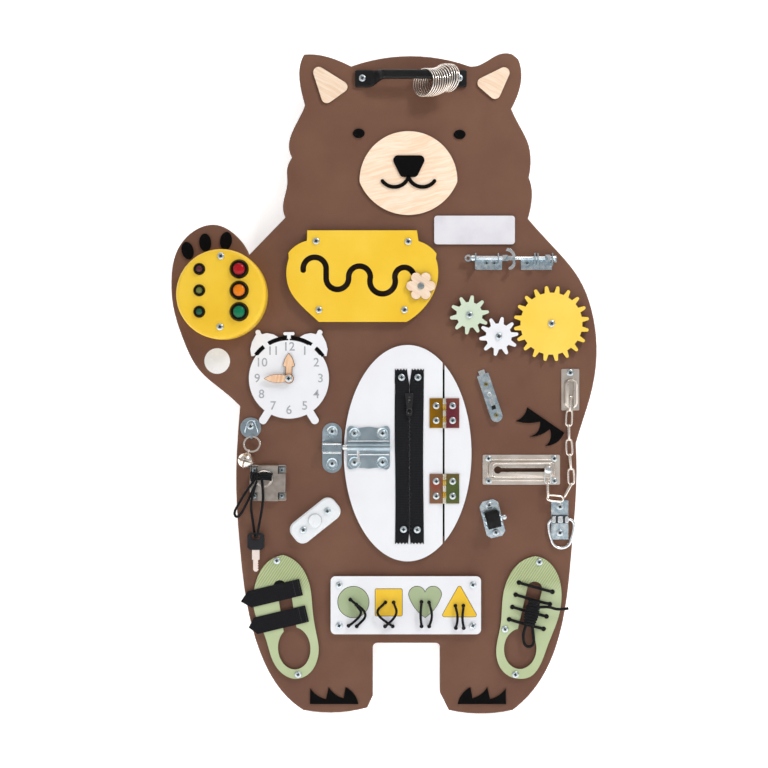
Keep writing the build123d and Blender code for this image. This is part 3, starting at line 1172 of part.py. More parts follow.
def shoe_plates():
    """Two sole-shaped plates; a slot for the tongue opens into an oval for the heel."""
    left = outline([(-156, -214.5), (-178, -226), (-191.5, -254.5), (-190, -290.5), (-179, -314.5), (-170, -343.5),
                    (-158.5, -361), (-141, -369), (-124, -363), (-114.5, -349), (-111.5, -329.5), (-114.5, -312),
                    (-119, -283.5), (-121.5, -258), (-131, -232.5), (-156, -214.5)])
    left -= Pos(-142, -330.9) * Rot(0, 0, 4) * Ellipse(20.2, 26.4)
    left -= Pos(-150.5, -286) * Rot(0, 0, 9) * Rectangle(16.5, 64)
    right = outline([(158.5, -216), (135, -228), (118.5, -264.5), (115.5, -301.5), (110, -337), (115, -355),
                     (125, -365), (139.5, -369), (153, -366), (163, -355), (174, -328), (187.5, -292.5),
                     (191.5, -264.5), (187.5, -241), (174, -222), (158.5, -216)])
    right -= Pos(139.9, -331.5) * Rot(0, 0, -3) * Ellipse(20.2, 25.2)
    right -= Pos(152, -283) * Rot(0, 0, -13) * RectangleRounded(18.5, 72, 9)
    pieces = [slab(left, FACE, ACRYLIC_T), slab(right, FACE, ACRYLIC_T)]
    pieces[0] = drilled(pieces[0], LEFT_SHOE_SCREWS, SCREW_HOLE)
    pieces[1] = drilled(drilled(pieces[1], RIGHT_SHOE_SCREWS, SCREW_HOLE), LACE_LEFT + LACE_RIGHT, LACE_HOLE_D)
    return pieces


def strap(right_end, length, tip):
    """A flat strap across the shoe, pointed at its free left end."""
    half = STRAP_W / 2
    face = Polygon((0, half), (0, -half), (-length, -half), (-length - tip, 0), (-length, half), align=None)
    return placed(slab(face, 0, STRAP_T), *right_end, turn=STRAP_TILT, rise=FACE + ACRYLIC_T + LIFT)


STRAP_UPPER_END, STRAP_LOWER_END = (-133.3, -254.3), (-125.8, -287.3)


def strap_upper():
    return strap(STRAP_UPPER_END, 63.0, 10.5)


def strap_lower():
    return strap(STRAP_LOWER_END, 62.0, 8.0)


def lace_bar(left, right):
    """The lace between two holes: out of one, over the shoe, into the other."""
    inside, over = LACE_Z - 3.5, LACE_Z + 1.0
    run = (Vector(*right) - Vector(*left)).normalized() * 1.2
    ends = [(left[0] + run.X, left[1] + run.Y), (right[0] - run.X, right[1] - run.Y)]
    return cord([(*ends[0], inside), (*ends[0], over), (*ends[1], over), (*ends[1], inside)], LACE_D)


def laces():
    """The shoe lace: bars between the holes, a knot on them, a bow loop and a loose end. With it, the lock's tie."""
    pieces = [lace_bar(left, right) for left, right in zip(LACE_LEFT, LACE_RIGHT)]
    knot_z = LACE_Z + LACE_D + 1.6
    knot = chamfer(Box(14, 24, 2 * LACE_D - 1.0, align=BOTTOM).edges(), 2.2)
    pieces.append(placed(knot, *KNOT, turn=-12, rise=knot_z - LACE_D / 2))
    low = FACE + ACRYLIC_T + LACE_D / 2 + LIFT
    x, y = KNOT
    pieces.append(cord([(x - 4.5, y - 15.0, knot_z), (x - 8.5, y - 29.0, low + 2), (x - 7.5, y - 42.0, low),
                        (x - 1.5, y - 44.0, low), (x + 1.0, y - 31.0, low + 2), (x + 0.5, y - 16.5, knot_z)], LACE_D))
    pieces.append(cord([(x + 9.0, y + 3.0, knot_z + 1), (x + 21, y + 4.5, knot_z + 2.6), (x + 33, y - 0.5, knot_z + 1),
                        (x + 46, y + 1.5, knot_z)], LACE_D))
    inner = CYLINDER_D / 2 - 1.6 + TURN_GAP
    wrap = slab(RegularPolygon(inner + CORD_D, 24) - Circle(inner), 0, 3.0)
    pieces.append(Pos(CYLINDER_X, CYLINDER_Y, FACE + LOCK_DEPTH + 0.1) * wrap)
    return pieces


# ------------------------------------------------------------------ all screws that hold to the board
def panel_screws():
    pieces = []
    seats = [
        (HANDLE_FEET, FACE + HANDLE_FOOT_T), (BOX_SCREWS, BOX_FRONT), (MAZE_SCREWS, FACE + MAZE_DEPTH),
        (hinge_holes(1), DOOR_FRONT + HINGE_LEAF_T), (KEEPER_SCREWS, FACE + STEEL_T),
        (FLUSH_SCREWS, FACE + FLUSH_DEPTH), (ANCHOR_SCREWS, FACE + STEEL_T), 
        (TIE_SCREWS, FACE + STEEL_T), (CASTOR_SCREWS, FACE + STEEL_T), ([(BELL_X, BELL_Y + 2)], FACE + STEEL_T + 0.5),
        (LOCK_SCREWS, FACE + STEEL_T), (SWITCH_SCREWS, FACE + SWITCH_T), (SHAPES_SCREWS, FACE + SHAPES_T),
        (LEFT_SHOE_SCREWS + RIGHT_SHOE_SCREWS, FACE + ACRYLIC_T),
    ]
    for points, seat in seats:
        pieces += screws_at(points, seat)
    pieces += screws_at(ROD_SCREWS + KEEPER_PLATE_SCREWS, FACE + STEEL_T, SMALL_HEAD_D)
    for centre in ((YELLOW_X, YELLOW_Y), white_centre(), green_centre()):
        pieces += gear_pivot(*centre)
    return pieces + [clock_pivot()]


def gear(teeth, centre, turn):
    return placed(slab(gear_face(teeth), 0, GEAR_T), *centre, turn=turn, rise=GEAR_Z)


# A tooth of the yellow gear meets a gap of the white one, and so on down the train; then all have turned a little.
YELLOW_TO_WHITE = math.degrees(math.atan2(WHITE_Y - YELLOW_Y, WHITE_X - YELLOW_X))
WHITE_TO_GREEN = 143.3
TRAIN_TURN = 5.8
HALF_TOOTH = 180 / SMALL_TEETH
YELLOW_TURN = YELLOW_TO_WHITE - TRAIN_TURN
WHITE_TURN = YELLOW_TO_WHITE + 180 + HALF_TOOTH + TRAIN_TURN * LARGE_TEETH / SMALL_TEETH
GREEN_TURN = 2 * WHITE_TO_GREEN + 180 - WHITE_TURN + HALF_TOOTH

NODES = {
    "bear_board": bear_board,
    "ears_and_snout": ears_and_snout,
    "face_and_claws": face_and_claws,
    "panel_screws": panel_screws,
    "pull_handle": pull_handle,
    "handle_rings": handle_rings,
    "light_box": light_box,
    "box_fittings": lambda: lamps_and_collars() + battery_pack(),
    "button_red": lambda: box_button(0),
    "button_orange": lambda: box_button(1),
    "button_green": lambda: box_button(2),
    "maze_plate": maze_plate,
    "flower_bolt": flower_bolt,
    "flower": flower,
    "bolt_brackets": bolt_brackets,
    "latch_rod": latch_rod,
    "gear_yellow": lambda: gear(LARGE_TEETH, (YELLOW_X, YELLOW_Y), YELLOW_TURN),
    "gear_white": lambda: gear(SMALL_TEETH, white_centre(), WHITE_TURN),
    "gear_green": lambda: gear(SMALL_TEETH, green_centre(), GREEN_TURN),
    "clock_face": clock_face,
    "hour_hand": hour_hand,
    "minute_hand": minute_hand,
    "door_strip": lambda: drilled(door_half(1), hinge_holes(1), SCREW_HOLE),
    "door_panel": door_panel,
    "hinge_leaves_fixed": lambda: hinge_leaves(1),
    "hinge_leaves_door": lambda: hinge_leaves(-1),
    "door_screws": door_screws,
    "zip_tapes": zip_tapes,
    "zip_slider": zip_slider,
    "zip_pull": zip_pull,
    "door_latch_plate": door_latch_plate,
    "door_latch_bolt": door_latch_bolt,
    "flush_bolt_tongue": flush_bolt_tongue,
    "chain_plates": chain_plates,
    "chain_upper": chain_upper,
    "chain_lower": chain_lower,
    "chain_knob": chain_knob,
    "ring_plates_and_fork": lambda: [tie_ring_plate(), castor_fork(), bell_disc()],
    "tie_ring": tie_ring,
    "castor_wheel": castor_wheel,
    "bell_ring": bell_ring,
    "jingle_bell": jingle_bell,
    "lock_and_switch_cases": lambda: [lock_case(), switch_case()],
    "lock_cylinder": lock_cylinder,
    "key": key,
    "key_cord": key_cord,
    "switch_button": switch_button,
    "shapes_plate": shapes_plate,
    "shape_circle": lambda: loose_shape("circle"),
    "shape_square": lambda: loose_shape("square"),
    "shape_heart": lambda: loose_shape("heart"),
    "shape_triangle": lambda: loose_shape("triangle"),
    "cord_circle": lambda: shape_cord("circle"),
    "cord_square": lambda: shape_cord("square"),
    "cord_heart": lambda: shape_cord("heart"),
    "cord_triangle": lambda: shape_cord("triangle"),
    "shoe_plates": shoe_plates,
    "laces": laces,
    "strap_upper": strap_upper,
    "strap_lower": strap_lower,
}

os.makedirs("parts", exist_ok=True)
for name, make in NODES.items():
    made = make()
    pieces = list(made) if isinstance(made, list) else [made]
    standing = [Plane.XZ * solid for piece in pieces for solid in piece.solids()]
    export_step(Compound(children=standing), f"parts/{name}.step")
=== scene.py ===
import bpy
import bmesh
import json
import math
from mathutils import Matrix, Vector


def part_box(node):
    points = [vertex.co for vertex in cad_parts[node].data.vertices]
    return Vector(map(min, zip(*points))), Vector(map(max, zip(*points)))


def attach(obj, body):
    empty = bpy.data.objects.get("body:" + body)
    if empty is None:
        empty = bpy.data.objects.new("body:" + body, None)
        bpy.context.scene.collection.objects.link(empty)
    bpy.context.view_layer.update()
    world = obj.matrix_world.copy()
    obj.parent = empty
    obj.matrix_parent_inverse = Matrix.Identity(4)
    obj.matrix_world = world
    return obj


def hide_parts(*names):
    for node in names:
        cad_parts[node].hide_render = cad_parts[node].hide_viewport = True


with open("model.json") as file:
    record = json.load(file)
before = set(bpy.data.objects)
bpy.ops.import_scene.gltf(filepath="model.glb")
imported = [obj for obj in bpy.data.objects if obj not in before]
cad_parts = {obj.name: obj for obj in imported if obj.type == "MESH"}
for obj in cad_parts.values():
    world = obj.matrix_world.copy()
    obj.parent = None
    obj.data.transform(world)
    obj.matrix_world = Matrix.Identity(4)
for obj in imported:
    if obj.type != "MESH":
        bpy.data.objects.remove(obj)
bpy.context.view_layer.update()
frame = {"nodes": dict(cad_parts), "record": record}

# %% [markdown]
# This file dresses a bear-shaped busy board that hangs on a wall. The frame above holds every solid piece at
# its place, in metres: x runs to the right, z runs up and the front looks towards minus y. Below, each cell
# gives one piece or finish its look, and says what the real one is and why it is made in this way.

MM = 0.001
FACE = 15.0
nodes = frame["nodes"]
record = frame["record"]
body_of = {n: body for body, members in record["behaviour"]["bodies"].items() for n in members}


def at(x, y, h):
    """A point drawn from the front in millimetres, h out of the wall, as a place in the scene."""
    return Vector((x * MM, -h * MM, y * MM))


def drawn(point):
    """The same the other way round: a place in the scene as (x, y, h) in millimetres."""
    return point.x / MM, point.z / MM, -point.y / MM


def linear(hex_colour):
    """An sRGB hex colour as the linear values that a shader works in."""
    channels = [int(hex_colour[i:i + 2], 16) / 255 for i in (1, 3, 5)]
    return tuple(c / 12.92 if c <= 0.04045 else ((c + 0.055) / 1.055) ** 2.4 for c in channels) + (1.0,)


def add(tree, kind, settings=None, feeds=None):
    """Adds one node. Settings are its options or socket values, feeds are the sockets that lead into it."""
    node = tree.nodes.new(kind)
    for name, value in (settings or {}).items():
        if isinstance(name, str) and name not in node.inputs and hasattr(node, name):
            setattr(node, name, value)
        else:
            node.inputs[name].default_value = value
    for name, source in (feeds or {}).items():
        tree.links.new(source, node.inputs[name])
    return node


def feed(tree, node, values):
    """Sets a node's inputs in order: a number is typed in, and an output of another node is linked."""
    for socket, given in zip(node.inputs, values):
        if isinstance(given, float):
            socket.default_value = given
        else:
            tree.links.new(given, socket)
    return node.outputs[0]


def calc(tree, operation, *values, clamp=False):
    """One sum. Each value is a number or an output."""
    return feed(tree, add(tree, "ShaderNodeMath", {"operation": operation, "use_clamp": clamp}), values)


def vector(tree, *values):
    """Up to three numbers or outputs as one vector."""
    return feed(tree, add(tree, "ShaderNodeCombineXYZ"), values)


# %% [markdown]
# The render looks from straight ahead through a long lens, so the board shows almost no perspective. A
# camera about 1.9 m away with a narrow view gives that, and a parallel view would be wrong, because the deep
# fittings show a little of their sides near the edges of the view.

# %% Camera
CAMERA_OUT = 1900.0
CAMERA_X, CAMERA_Y = -30.0, -1.2
VIEW_WIDE = 960.0
SENSOR = 36.0
camera = bpy.data.objects.new("front_camera", bpy.data.cameras.new("front_camera"))
bpy.context.scene.collection.objects.link(camera)
camera.location = at(CAMERA_X, CAMERA_Y, CAMERA_OUT)
camera.rotation_euler = (math.radians(90), 0, 0)
camera.data.sensor_width = SENSOR
camera.data.lens = SENSOR * (CAMERA_OUT - FACE) / VIEW_WIDE
camera.data.clip_end = 20.0
bpy.context.scene.camera = camera
print("lens", round(camera.data.lens, 1), "mm")

# %% [markdown]
# The studio is a white paper sweep: a wall close behind the board that runs down into a floor. A main lamp
# at the upper right, two weak wide ones at the left and above, and an even pale sky light it. The main lamp
# is only 30 cm wide, which gives the short shadows that tell the eye how thick each flat piece is. The view
# transform is the plain one, so that a colour set as paint comes out as that paint. Nothing here belongs to
# the object.

# %% Wall, floor and lamps
def plain(name, colour, roughness):
    paper = bpy.data.materials.new(name)
    paper.use_nodes = True
    shader = paper.node_tree.nodes["Principled BSDF"]
    shader.inputs["Base Color"].default_value = linear(colour)
    shader.inputs["Roughness"].default_value = roughness
    return paper


def backdrop():
    profile = [(-3.4, -0.62), (-0.42, -0.62), (-0.24, -0.60), (-0.08, -0.55), (0.0, -0.42), (0.0, 3.4)]
    points = [(x, y + 0.03, z) for x in (-4.5, 4.5) for y, z in profile]
    count = len(profile)
    mesh = bpy.data.meshes.new("studio_sweep")
    mesh.from_pydata(points, [], [(i, i + 1, count + i + 1, count + i) for i in range(count - 1)])
    sweep = bpy.data.objects.new("studio_sweep", mesh)
    bpy.context.scene.collection.objects.link(sweep)
    paper = plain("white_paper", "#ffffff", 0.95)
    shader = paper.node_tree.nodes["Principled BSDF"]
    shader.inputs["Emission Color"].default_value = (1, 1, 1, 1)
    shader.inputs["Emission Strength"].default_value = 0.5
    mesh.materials.append(paper)


def lamp(name, place, aim, size, power):
    light = bpy.data.lights.new(name, "AREA")
    light.shape = "RECTANGLE"
    light.size, light.size_y = size
    light.energy = power
    lamp_object = bpy.data.objects.new(name, light)
    bpy.context.scene.collection.objects.link(lamp_object)
    lamp_object.location = place
    lamp_object.rotation_euler = (Vector(aim) - Vector(place)).to_track_quat("-Z", "Y").to_euler()


backdrop()
lamp("key_lamp", (0.82, -0.98, 1.20), (0, 0, 0), (0.30, 0.30), 10.5)
lamp("fill_lamp", (-2.2, -2.4, 0.3), (0, 0, 0), (2.0, 2.0), 4)
lamp("top_lamp", (0.2, -1.0, 2.4), (0, 0, 0.1), (1.6, 0.8), 7)
sky = bpy.data.worlds.new("studio_sky")
bpy.context.scene.world = sky
sky.use_nodes = True
sky.node_tree.nodes["Background"].inputs["Color"].default_value = (1, 1, 1, 1)
sky.node_tree.nodes["Background"].inputs["Strength"].default_value = 0.40
bpy.context.scene.view_settings.view_transform = "Standard"
print("studio ready")

# %% [markdown]
# Every finish below starts in the same way: a named material, its shader set to typical values, and the
# place on the piece in metres. A pattern is given its size in millimetres, which is turned to a scale here.
# A relief is a bump, whose height is a real one. What is the same all over is set on the shader itself.

# %% Helpers for finishes
def finish(name, colour, roughness, metallic=0.0, **values):
    """A new material, its node tree, its shader and its coordinates."""
    made = bpy.data.materials.new(name)
    made.use_nodes = True
    tree = made.node_tree
    shader = tree.nodes["Principled BSDF"]
    shader.inputs["Base Color"].default_value = linear(colour)
    shader.inputs["Roughness"].default_value = roughness
    shader.inputs["Metallic"].default_value = metallic
    for socket, value in values.items():
        shader.inputs[socket.replace("_", " ")].default_value = value
    place = add(tree, "ShaderNodeTexCoord").outputs["Object"]
    return made, tree, shader, place


def per(size_mm):
    """Texture scale of a pattern whose repeat is so many millimetres."""
    return 1000.0 / size_mm


def clouds(tree, place, size_mm, detail):
    """Cloudy noise from 0 to 1."""
    noise = add(tree, "ShaderNodeTexNoise", {"Scale": per(size_mm), "Detail": detail}, {"Vector": place})
    return noise.outputs["Fac"]


def mottle(tree, shader, place, size_mm, colours, detail=4.0, spread=(0.35, 0.65)):
    """Slow colour changes between two or more near colours."""
    ramp = add(tree, "ShaderNodeValToRGB", feeds={"Fac": clouds(tree, place, size_mm, detail)})
    stops = ramp.color_ramp.elements
    while len(stops) < len(colours):
        stops.new(0.5)
    for i, colour in enumerate(colours):
        stops[i].position = spread[0] + (spread[1] - spread[0]) * i / (len(colours) - 1)
        stops[i].color = linear(colour)
    tree.links.new(ramp.outputs["Color"], shader.inputs["Base Color"])
    return ramp.outputs["Color"]


def two_tone(tree, shader, factor, positions, colours):
    """The colour goes from one to another as the factor rises from one position to the other."""
    ramp = add(tree, "ShaderNodeValToRGB", feeds={"Fac": factor})
    for stop, position, colour in zip(ramp.color_ramp.elements, positions, colours):
        stop.position = position
        stop.color = linear(colour)
    tree.links.new(ramp.outputs["Color"], shader.inputs["Base Color"])


def speckled(name, colour, colours, roughness, size_mm, metallic=0.0):
    """A quiet finish that only changes its colour a little."""
    made, tree, shader, place = finish(name, colour, roughness, metallic)
    mottle(tree, shader, place, size_mm, colours)
    return made


def sheen_change(tree, shader, place, size_mm, low, high):
    """Patches where the surface is a little glossier or duller."""
    span = add(tree, "ShaderNodeMapRange",
               {"From Min": 0.35, "From Max": 0.65, "To Min": low, "To Max": high},
               {"Value": clouds(tree, place, size_mm, 3.0)})
    tree.links.new(span.outputs["Result"], shader.inputs["Roughness"])


def relief(tree, shader, height, depth_mm, strength=1.0):
    """A bump whose full height is depth_mm."""
    bump = add(tree, "ShaderNodeBump", {"Strength": strength, "Distance": depth_mm * MM}, {"Height": height})
    tree.links.new(bump.outputs["Normal"], shader.inputs["Normal"])


def stretched(tree, place, scale, turn=(0, 0, 0)):
    """Coordinates stretched along one way, for grain and brushing."""
    mapping = add(tree, "ShaderNodeMapping", {"Scale": scale, "Rotation": turn}, {"Vector": place})
    return mapping.outputs["Vector"]


print("helpers ready")

# %% [markdown]
# Satin paint on birch plywood, put on with a foam roller. It shows three things: a very fine stipple of
# about 0.9 mm that breaks up the shine, slow changes of tone over half a hand's width, and no wood figure at
# all. The board is brown; the fittings' plates are white, yellow and pale green in the same paint.

# %% Rolled paint
def rolled_paint(name, colour, lighter, darker, roughness=0.5):
    made, tree, shader, place = finish(name, colour, roughness, Specular_IOR_Level=0.35)
    mottle(tree, shader, place, 60, [darker, colour, lighter], spread=(0.3, 0.7))
    relief(tree, shader, clouds(tree, place, 0.9, 2.0), 0.035, 0.5)
    return made


BROWN = rolled_paint("brown_rolled_paint_on_plywood", "#714d3b", "#76523f", "#6b4736", 0.62)
WHITE = rolled_paint("white_rolled_paint_on_plywood", "#eeeff3", "#f1f2f6", "#ebebf0", 0.42)
YELLOW = rolled_paint("yellow_rolled_paint_on_plywood", "#f4c733", "#f7cd40", "#f0c02a", 0.45)
GREEN = rolled_paint("pale_green_rolled_paint_on_plywood", "#a9b890", "#afbd98", "#a3b288", 0.5)
MINT = rolled_paint("mint_rolled_paint_on_plywood", "#d3dfca", "#d8e3d0", "#cddbc2", 0.5)
WARM_YELLOW = rolled_paint("warm_yellow_rolled_paint_on_plywood", "#fbd457", "#fdd961", "#f8cf4c", 0.45)
print("paints:", [m.name for m in (BROWN, WHITE, YELLOW, GREEN, MINT, WARM_YELLOW)])

# %% [markdown]
# The shoes' toes are ribbed: fine slanting grooves, cut before the paint went on, fade out below the toe.
# Cutting them as a shape would cost many faces, so a wave texture draws them as a bump and as a slightly
# darker tone in the grooves, which is painted shade, and the height on the board fades both out.

# %% Paint with a ribbed toe
TOE_START, TOE_FULL = -0.262, -0.246
RIB_SCALE, RIB_TURN = 112.0, math.radians(-34)


def ribbed_toe_paint(name, colour, lighter, darker, painted_groove_shade):
    made, tree, shader, place = finish(name, colour, 0.5, Specular_IOR_Level=0.35)
    flat = mottle(tree, shader, place, 60, [darker, colour, lighter], spread=(0.3, 0.7))
    slanted = stretched(tree, place, (1, 1, 1), (0, RIB_TURN, 0))
    wave = {"bands_direction": "X", "Scale": RIB_SCALE, "Distortion": 1.2, "Detail": 1.0}
    ribs = add(tree, "ShaderNodeTexWave", wave, {"Vector": slanted})
    height = add(tree, "ShaderNodeSeparateXYZ", feeds={0: place}).outputs["Z"]
    toe = add(tree, "ShaderNodeMapRange",
              {"From Min": TOE_START, "From Max": TOE_FULL, "To Min": 0.0, "To Max": 1.0}, {"Value": height})
    groove = calc(tree, "MULTIPLY", ribs.outputs["Fac"], toe.outputs["Result"])
    # Painted shade: the grooves are darkened by this tone.
    toned = add(tree, "ShaderNodeMix",
                {"data_type": "RGBA", "blend_type": "MULTIPLY", 7: linear(painted_groove_shade)},
                {0: groove, 6: flat})
    tree.links.new(toned.outputs[2], shader.inputs["Base Color"])
    relief(tree, shader, groove, 0.25, 0.6)
    return made


SHOE_GREEN = ribbed_toe_paint("pale_green_paint_with_ribbed_toe", "#bcc99e", "#c2cea6", "#b6c396", "#d3d3b8")
print(SHOE_GREEN.name)

# %% [markdown]
# Bare birch, 3 mm thick, cut with a laser and left unpainted. The eye looks for long fine growth lines,
# short darker pores along them, and the brown line that the laser burns into the cut edge. The growth lines
# are a wave along the piece, bent by slow noise; the pores are noise stretched thirty to one.

# %% Bare birch
def birch(name, turn, colours=("#fbd6b4", "#fee0c2", "#ffead2")):
    made, tree, shader, place = finish(name, colours[1], 0.55)
    along = stretched(tree, place, (1.0, 1.0, 1.0), (0, turn, 0))
    drift = add(tree, "ShaderNodeTexNoise", {"Scale": per(45), "Detail": 2.0}, {"Vector": along})
    bent = add(tree, "ShaderNodeVectorMath", {"operation": "MULTIPLY_ADD", 1: (0.006, 0.006, 0.012)},
               {0: drift.outputs["Color"], 2: along})
    squeezed = stretched(tree, bent.outputs["Vector"], (0.06, 1.0, 1.0))
    lines = add(tree, "ShaderNodeTexNoise", {"Scale": per(2.4), "Detail": 5.0, "Roughness": 0.6},
                {"Vector": squeezed})
    two_tone(tree, shader, lines.outputs["Fac"], (0.38, 0.62), (colours[0], colours[2]))
    relief(tree, shader, lines.outputs["Fac"], 0.04, 0.4)
    return made


BIRCH = birch("birch_laser_cut_bare", math.radians(12))
WARM_BIRCH = birch("birch_clock_hands_oiled", math.radians(80), ("#e6b48a", "#eec39e", "#f5d1b0"))
PALE_BIRCH = birch("birch_ear_inserts_bare", math.radians(-30), ("#ecccae", "#f1d6bb", "#f6e0c8"))
print("birch ready")

# %% [markdown]
# The eyes, nose, mouth, pads and claws are matt black, cut from a dense fibre sheet. Black that is not quite
# black, with a fine tooth and a faint sheen at grazing light, reads as such a sheet and not as a hole.

# %% Black fibre sheet
# This black also fills the clock's slots and the door's gap, where it is painted shade.
FELT_AND_PAINTED_SHADE, tree, shader, place = finish("black_fibre_sheet_and_painted_shade", "#080708", 0.85, Specular_IOR_Level=0.05,
                                   Sheen_Weight=0.04, Sheen_Roughness=0.6)
relief(tree, shader, clouds(tree, place, 0.5, 4.0), 0.06, 0.6)
print(FELT_AND_PAINTED_SHADE.name)

# %% [markdown]
# The bolts, latch and ring plates are pressed steel with a zinc coat: blue-grey, with soft cloudy patches
# and fine drawing lines, and paler on the small plates. Screws have the same coat but are brighter, because
# each is small and turned. The chain's plates and the lock are nickel, which is warmer. A metal keeps the
# default IOR.

# %% Plated steel
LINE_GAP = 2.5


def plated(name, colours, rough, patch_mm=18.0, lines=(1.0, 1.0, 0.04)):
    made, tree, shader, place = finish(name, colours[0], rough, 1.0)
    mottle(tree, shader, place, patch_mm, colours, detail=1.5, spread=(0.25, 0.75))
    sheen_change(tree, shader, place, patch_mm * 0.7, rough * 0.9, rough * 1.12)
    drawn_lines = clouds(tree, stretched(tree, place, lines), LINE_GAP, 3.0)
    relief(tree, shader, drawn_lines, 0.02, 0.35)
    return made


ZINC = plated("zinc_plated_pressed_steel", ["#97a7b1", "#a5b4bd", "#b6c4cc"], 0.30)
NICKEL = plated("nickel_plated_pressed_steel", ["#d9cec3", "#e2d8ce", "#ebe3da"], 0.30,
                lines=(0.04, 1.0, 1.0))
GUNMETAL = plated("lock_case_satin_nickel", ["#958c84", "#a59c94", "#b4aca5"], 0.40, patch_mm=9.0)
SCREW_ZINC = plated("zinc_plated_turned_screw", ["#c4d0d6", "#d2dce1", "#e0e8eb"], 0.30, patch_mm=5.0)
DULL_SCREW = plated("dull_passivated_small_screw", ["#8d9aa0", "#9ba7ac", "#a9b4b8"], 0.42, patch_mm=5.0)
OLIVE_SCREW = plated("olive_passivated_screw", ["#7d7650", "#8c845c", "#9b9269"], 0.45, patch_mm=5.0)
BRIGHT = plated("bright_zinc_wire", ["#e2e6e8", "#ebeef0", "#f3f5f6"], 0.24, patch_mm=9.0)
WARM_WIRE = plated("warm_nickel_wire", ["#efe2d5", "#f7ede3", "#fdf7f0"], 0.22, patch_mm=9.0)
LIGHT_ZINC = plated("light_blue_zinc_plate", ["#a9bfcc", "#cbdbe4", "#eef5f8"], 0.24, patch_mm=6.0)
BLUE_STEEL = plated("blue_grey_zinc_washer", ["#8e9ba3", "#9caab1", "#a9b6bd"], 0.42, patch_mm=9.0)
ROSE_NICKEL = plated("rose_nickel_key_blade", ["#fbe6dc", "#fdeee7", "#fff5f0"], 0.36, patch_mm=9.0)
print("plated metals ready")

# %% [markdown]
# The butt hinges are dipped in yellow chromate over zinc. The film is thinner than light's wavelength, so
# each leaf comes out in clouds of its own colours: gold, red-violet, orange or olive. A ramp of three near
# colours over slow noise gives them. The knuckles are pale gold and nearly white in turn, and the near white
# is a painted highlight.

# %% Yellow chromate
def chromate(name, colours, rough=0.34, patch_mm=26):
    made, tree, shader, place = finish(name, colours[1], rough, 1.0)
    mottle(tree, shader, place, patch_mm, colours, detail=1.0, spread=(0.36, 0.64))
    relief(tree, shader, clouds(tree, place, 0.6, 3.0), 0.02, 0.4)
    return made


GOLD_LEAF = chromate("gold_chromate_leaf", ["#8f6a2e", "#a3741f", "#b47e1c"])
VIOLET_LEAF = chromate("red_violet_chromate_leaf", ["#853e4a", "#8f4a4c", "#9a5a4e"])
ORANGE_LEAF = chromate("orange_chromate_leaf", ["#9a7052", "#94705c", "#a85a4a"])
OLIVE_LEAF = chromate("olive_chromate_leaf", ["#5f6e40", "#6c7646", "#86653f"])
GOLD_KNUCKLE = chromate("gold_knuckle", ["#d9a83e", "#e8bd5a", "#f0d080"], 0.22, 8)
# Painted highlight: the nearly white knuckles of the board's hinge half.
KNUCKLE_PAINTED_HIGHLIGHT = chromate("knuckle_painted_highlight", ["#e8ddc0", "#f2ead6", "#f8f4ea"], 0.22, 8)
print(GOLD_LEAF.name, VIOLET_LEAF.name, ORANGE_LEAF.name, OLIVE_LEAF.name)

# %% [markdown]
# Moulded plastics: the pull handle, key head and lamp rims are black with a light grain; the bell push is
# white and smooth; the push caps and lenses are clear coloured polystyrene over a bright reflector, so they
# are glossy and a little see-through. Each keeps its own colour, painted lighter where it faces the view and
# darker towards its rim, which is painted light and shade.

# %% Plastics and rubber
def moulded(name, colour, roughness, grain_mm=0.35, **values):
    made, tree, shader, place = finish(name, colour, roughness, **values)
    grain = add(tree, "ShaderNodeTexVoronoi", {"Scale": per(grain_mm * 2)}, {"Vector": place})
    relief(tree, shader, grain.outputs["Distance"], 0.02, 0.4)
    sheen_change(tree, shader, place, 9.0, roughness * 0.85, roughness * 1.2)
    return made


def clear_cap(name, edge, heart):
    made, tree, shader, place = finish(name, edge, 0.1, IOR=1.59, Specular_IOR_Level=0.22)
    # Painted light and shade: the heart colour where the cap faces the view, the darker edge colour towards
    # its rim.
    facing = add(tree, "ShaderNodeLayerWeight", {"Blend": 0.35})
    facets = add(tree, "ShaderNodeTexVoronoi", {"Scale": per(2.2)}, {"Vector": place})
    depth = calc(tree, "MULTIPLY_ADD", facets.outputs["Distance"], 0.25, facing.outputs["Facing"])
    two_tone(tree, shader, depth, (0.1, 0.75), (heart, edge))
    return made


BLACK_PLASTIC = moulded("black_moulded_abs", "#0a0a0b", 0.38, Specular_IOR_Level=0.35)
WHITE_PLASTIC = moulded("white_moulded_abs", "#eceff2", 0.3, Coat_Weight=0.2)
RUBBER = moulded("black_castor_rubber", "#0d0d0f", 0.6, grain_mm=0.5, Specular_IOR_Level=0.25)
KEY_PLASTIC = moulded("navy_black_key_head", "#121319", 0.42, Specular_IOR_Level=0.35)
DARK_RIM = moulded("black_gloss_lamp_rim", "#0b0706", 0.22, Specular_IOR_Level=0.22)
CAPS = {"red": clear_cap("red_clear_cap", "#5c0812", "#b00c1a"),
        "orange": clear_cap("orange_clear_cap", "#a84a02", "#ec820a"),
        "green": clear_cap("green_clear_cap", "#02382a", "#067a50")}
LENSES = {"red": clear_cap("red_lamp_lens", "#1e090c", "#5a2830"),
          "olive": clear_cap("olive_lamp_lens", "#2a300c", "#6f7c3a"),
          "green": clear_cap("green_lamp_lens", "#031c14", "#125c42")}
print("plastics ready")

# %% [markdown]
# Woven and braided goods. The straps are hook-and-loop webbing of black nylon: cross ribs about 1 mm apart.
# The zip's tape is a twill. The cords are round braids, whose two sets of strands cross at 45 degrees.
# Threads of 0.4 mm would vanish in a render, so each pattern is drawn at about twice its real size.

# %% Webbing, tape and braid
WAVE_PERIOD = 6.28
STRAP_TURN = math.radians(13.5)


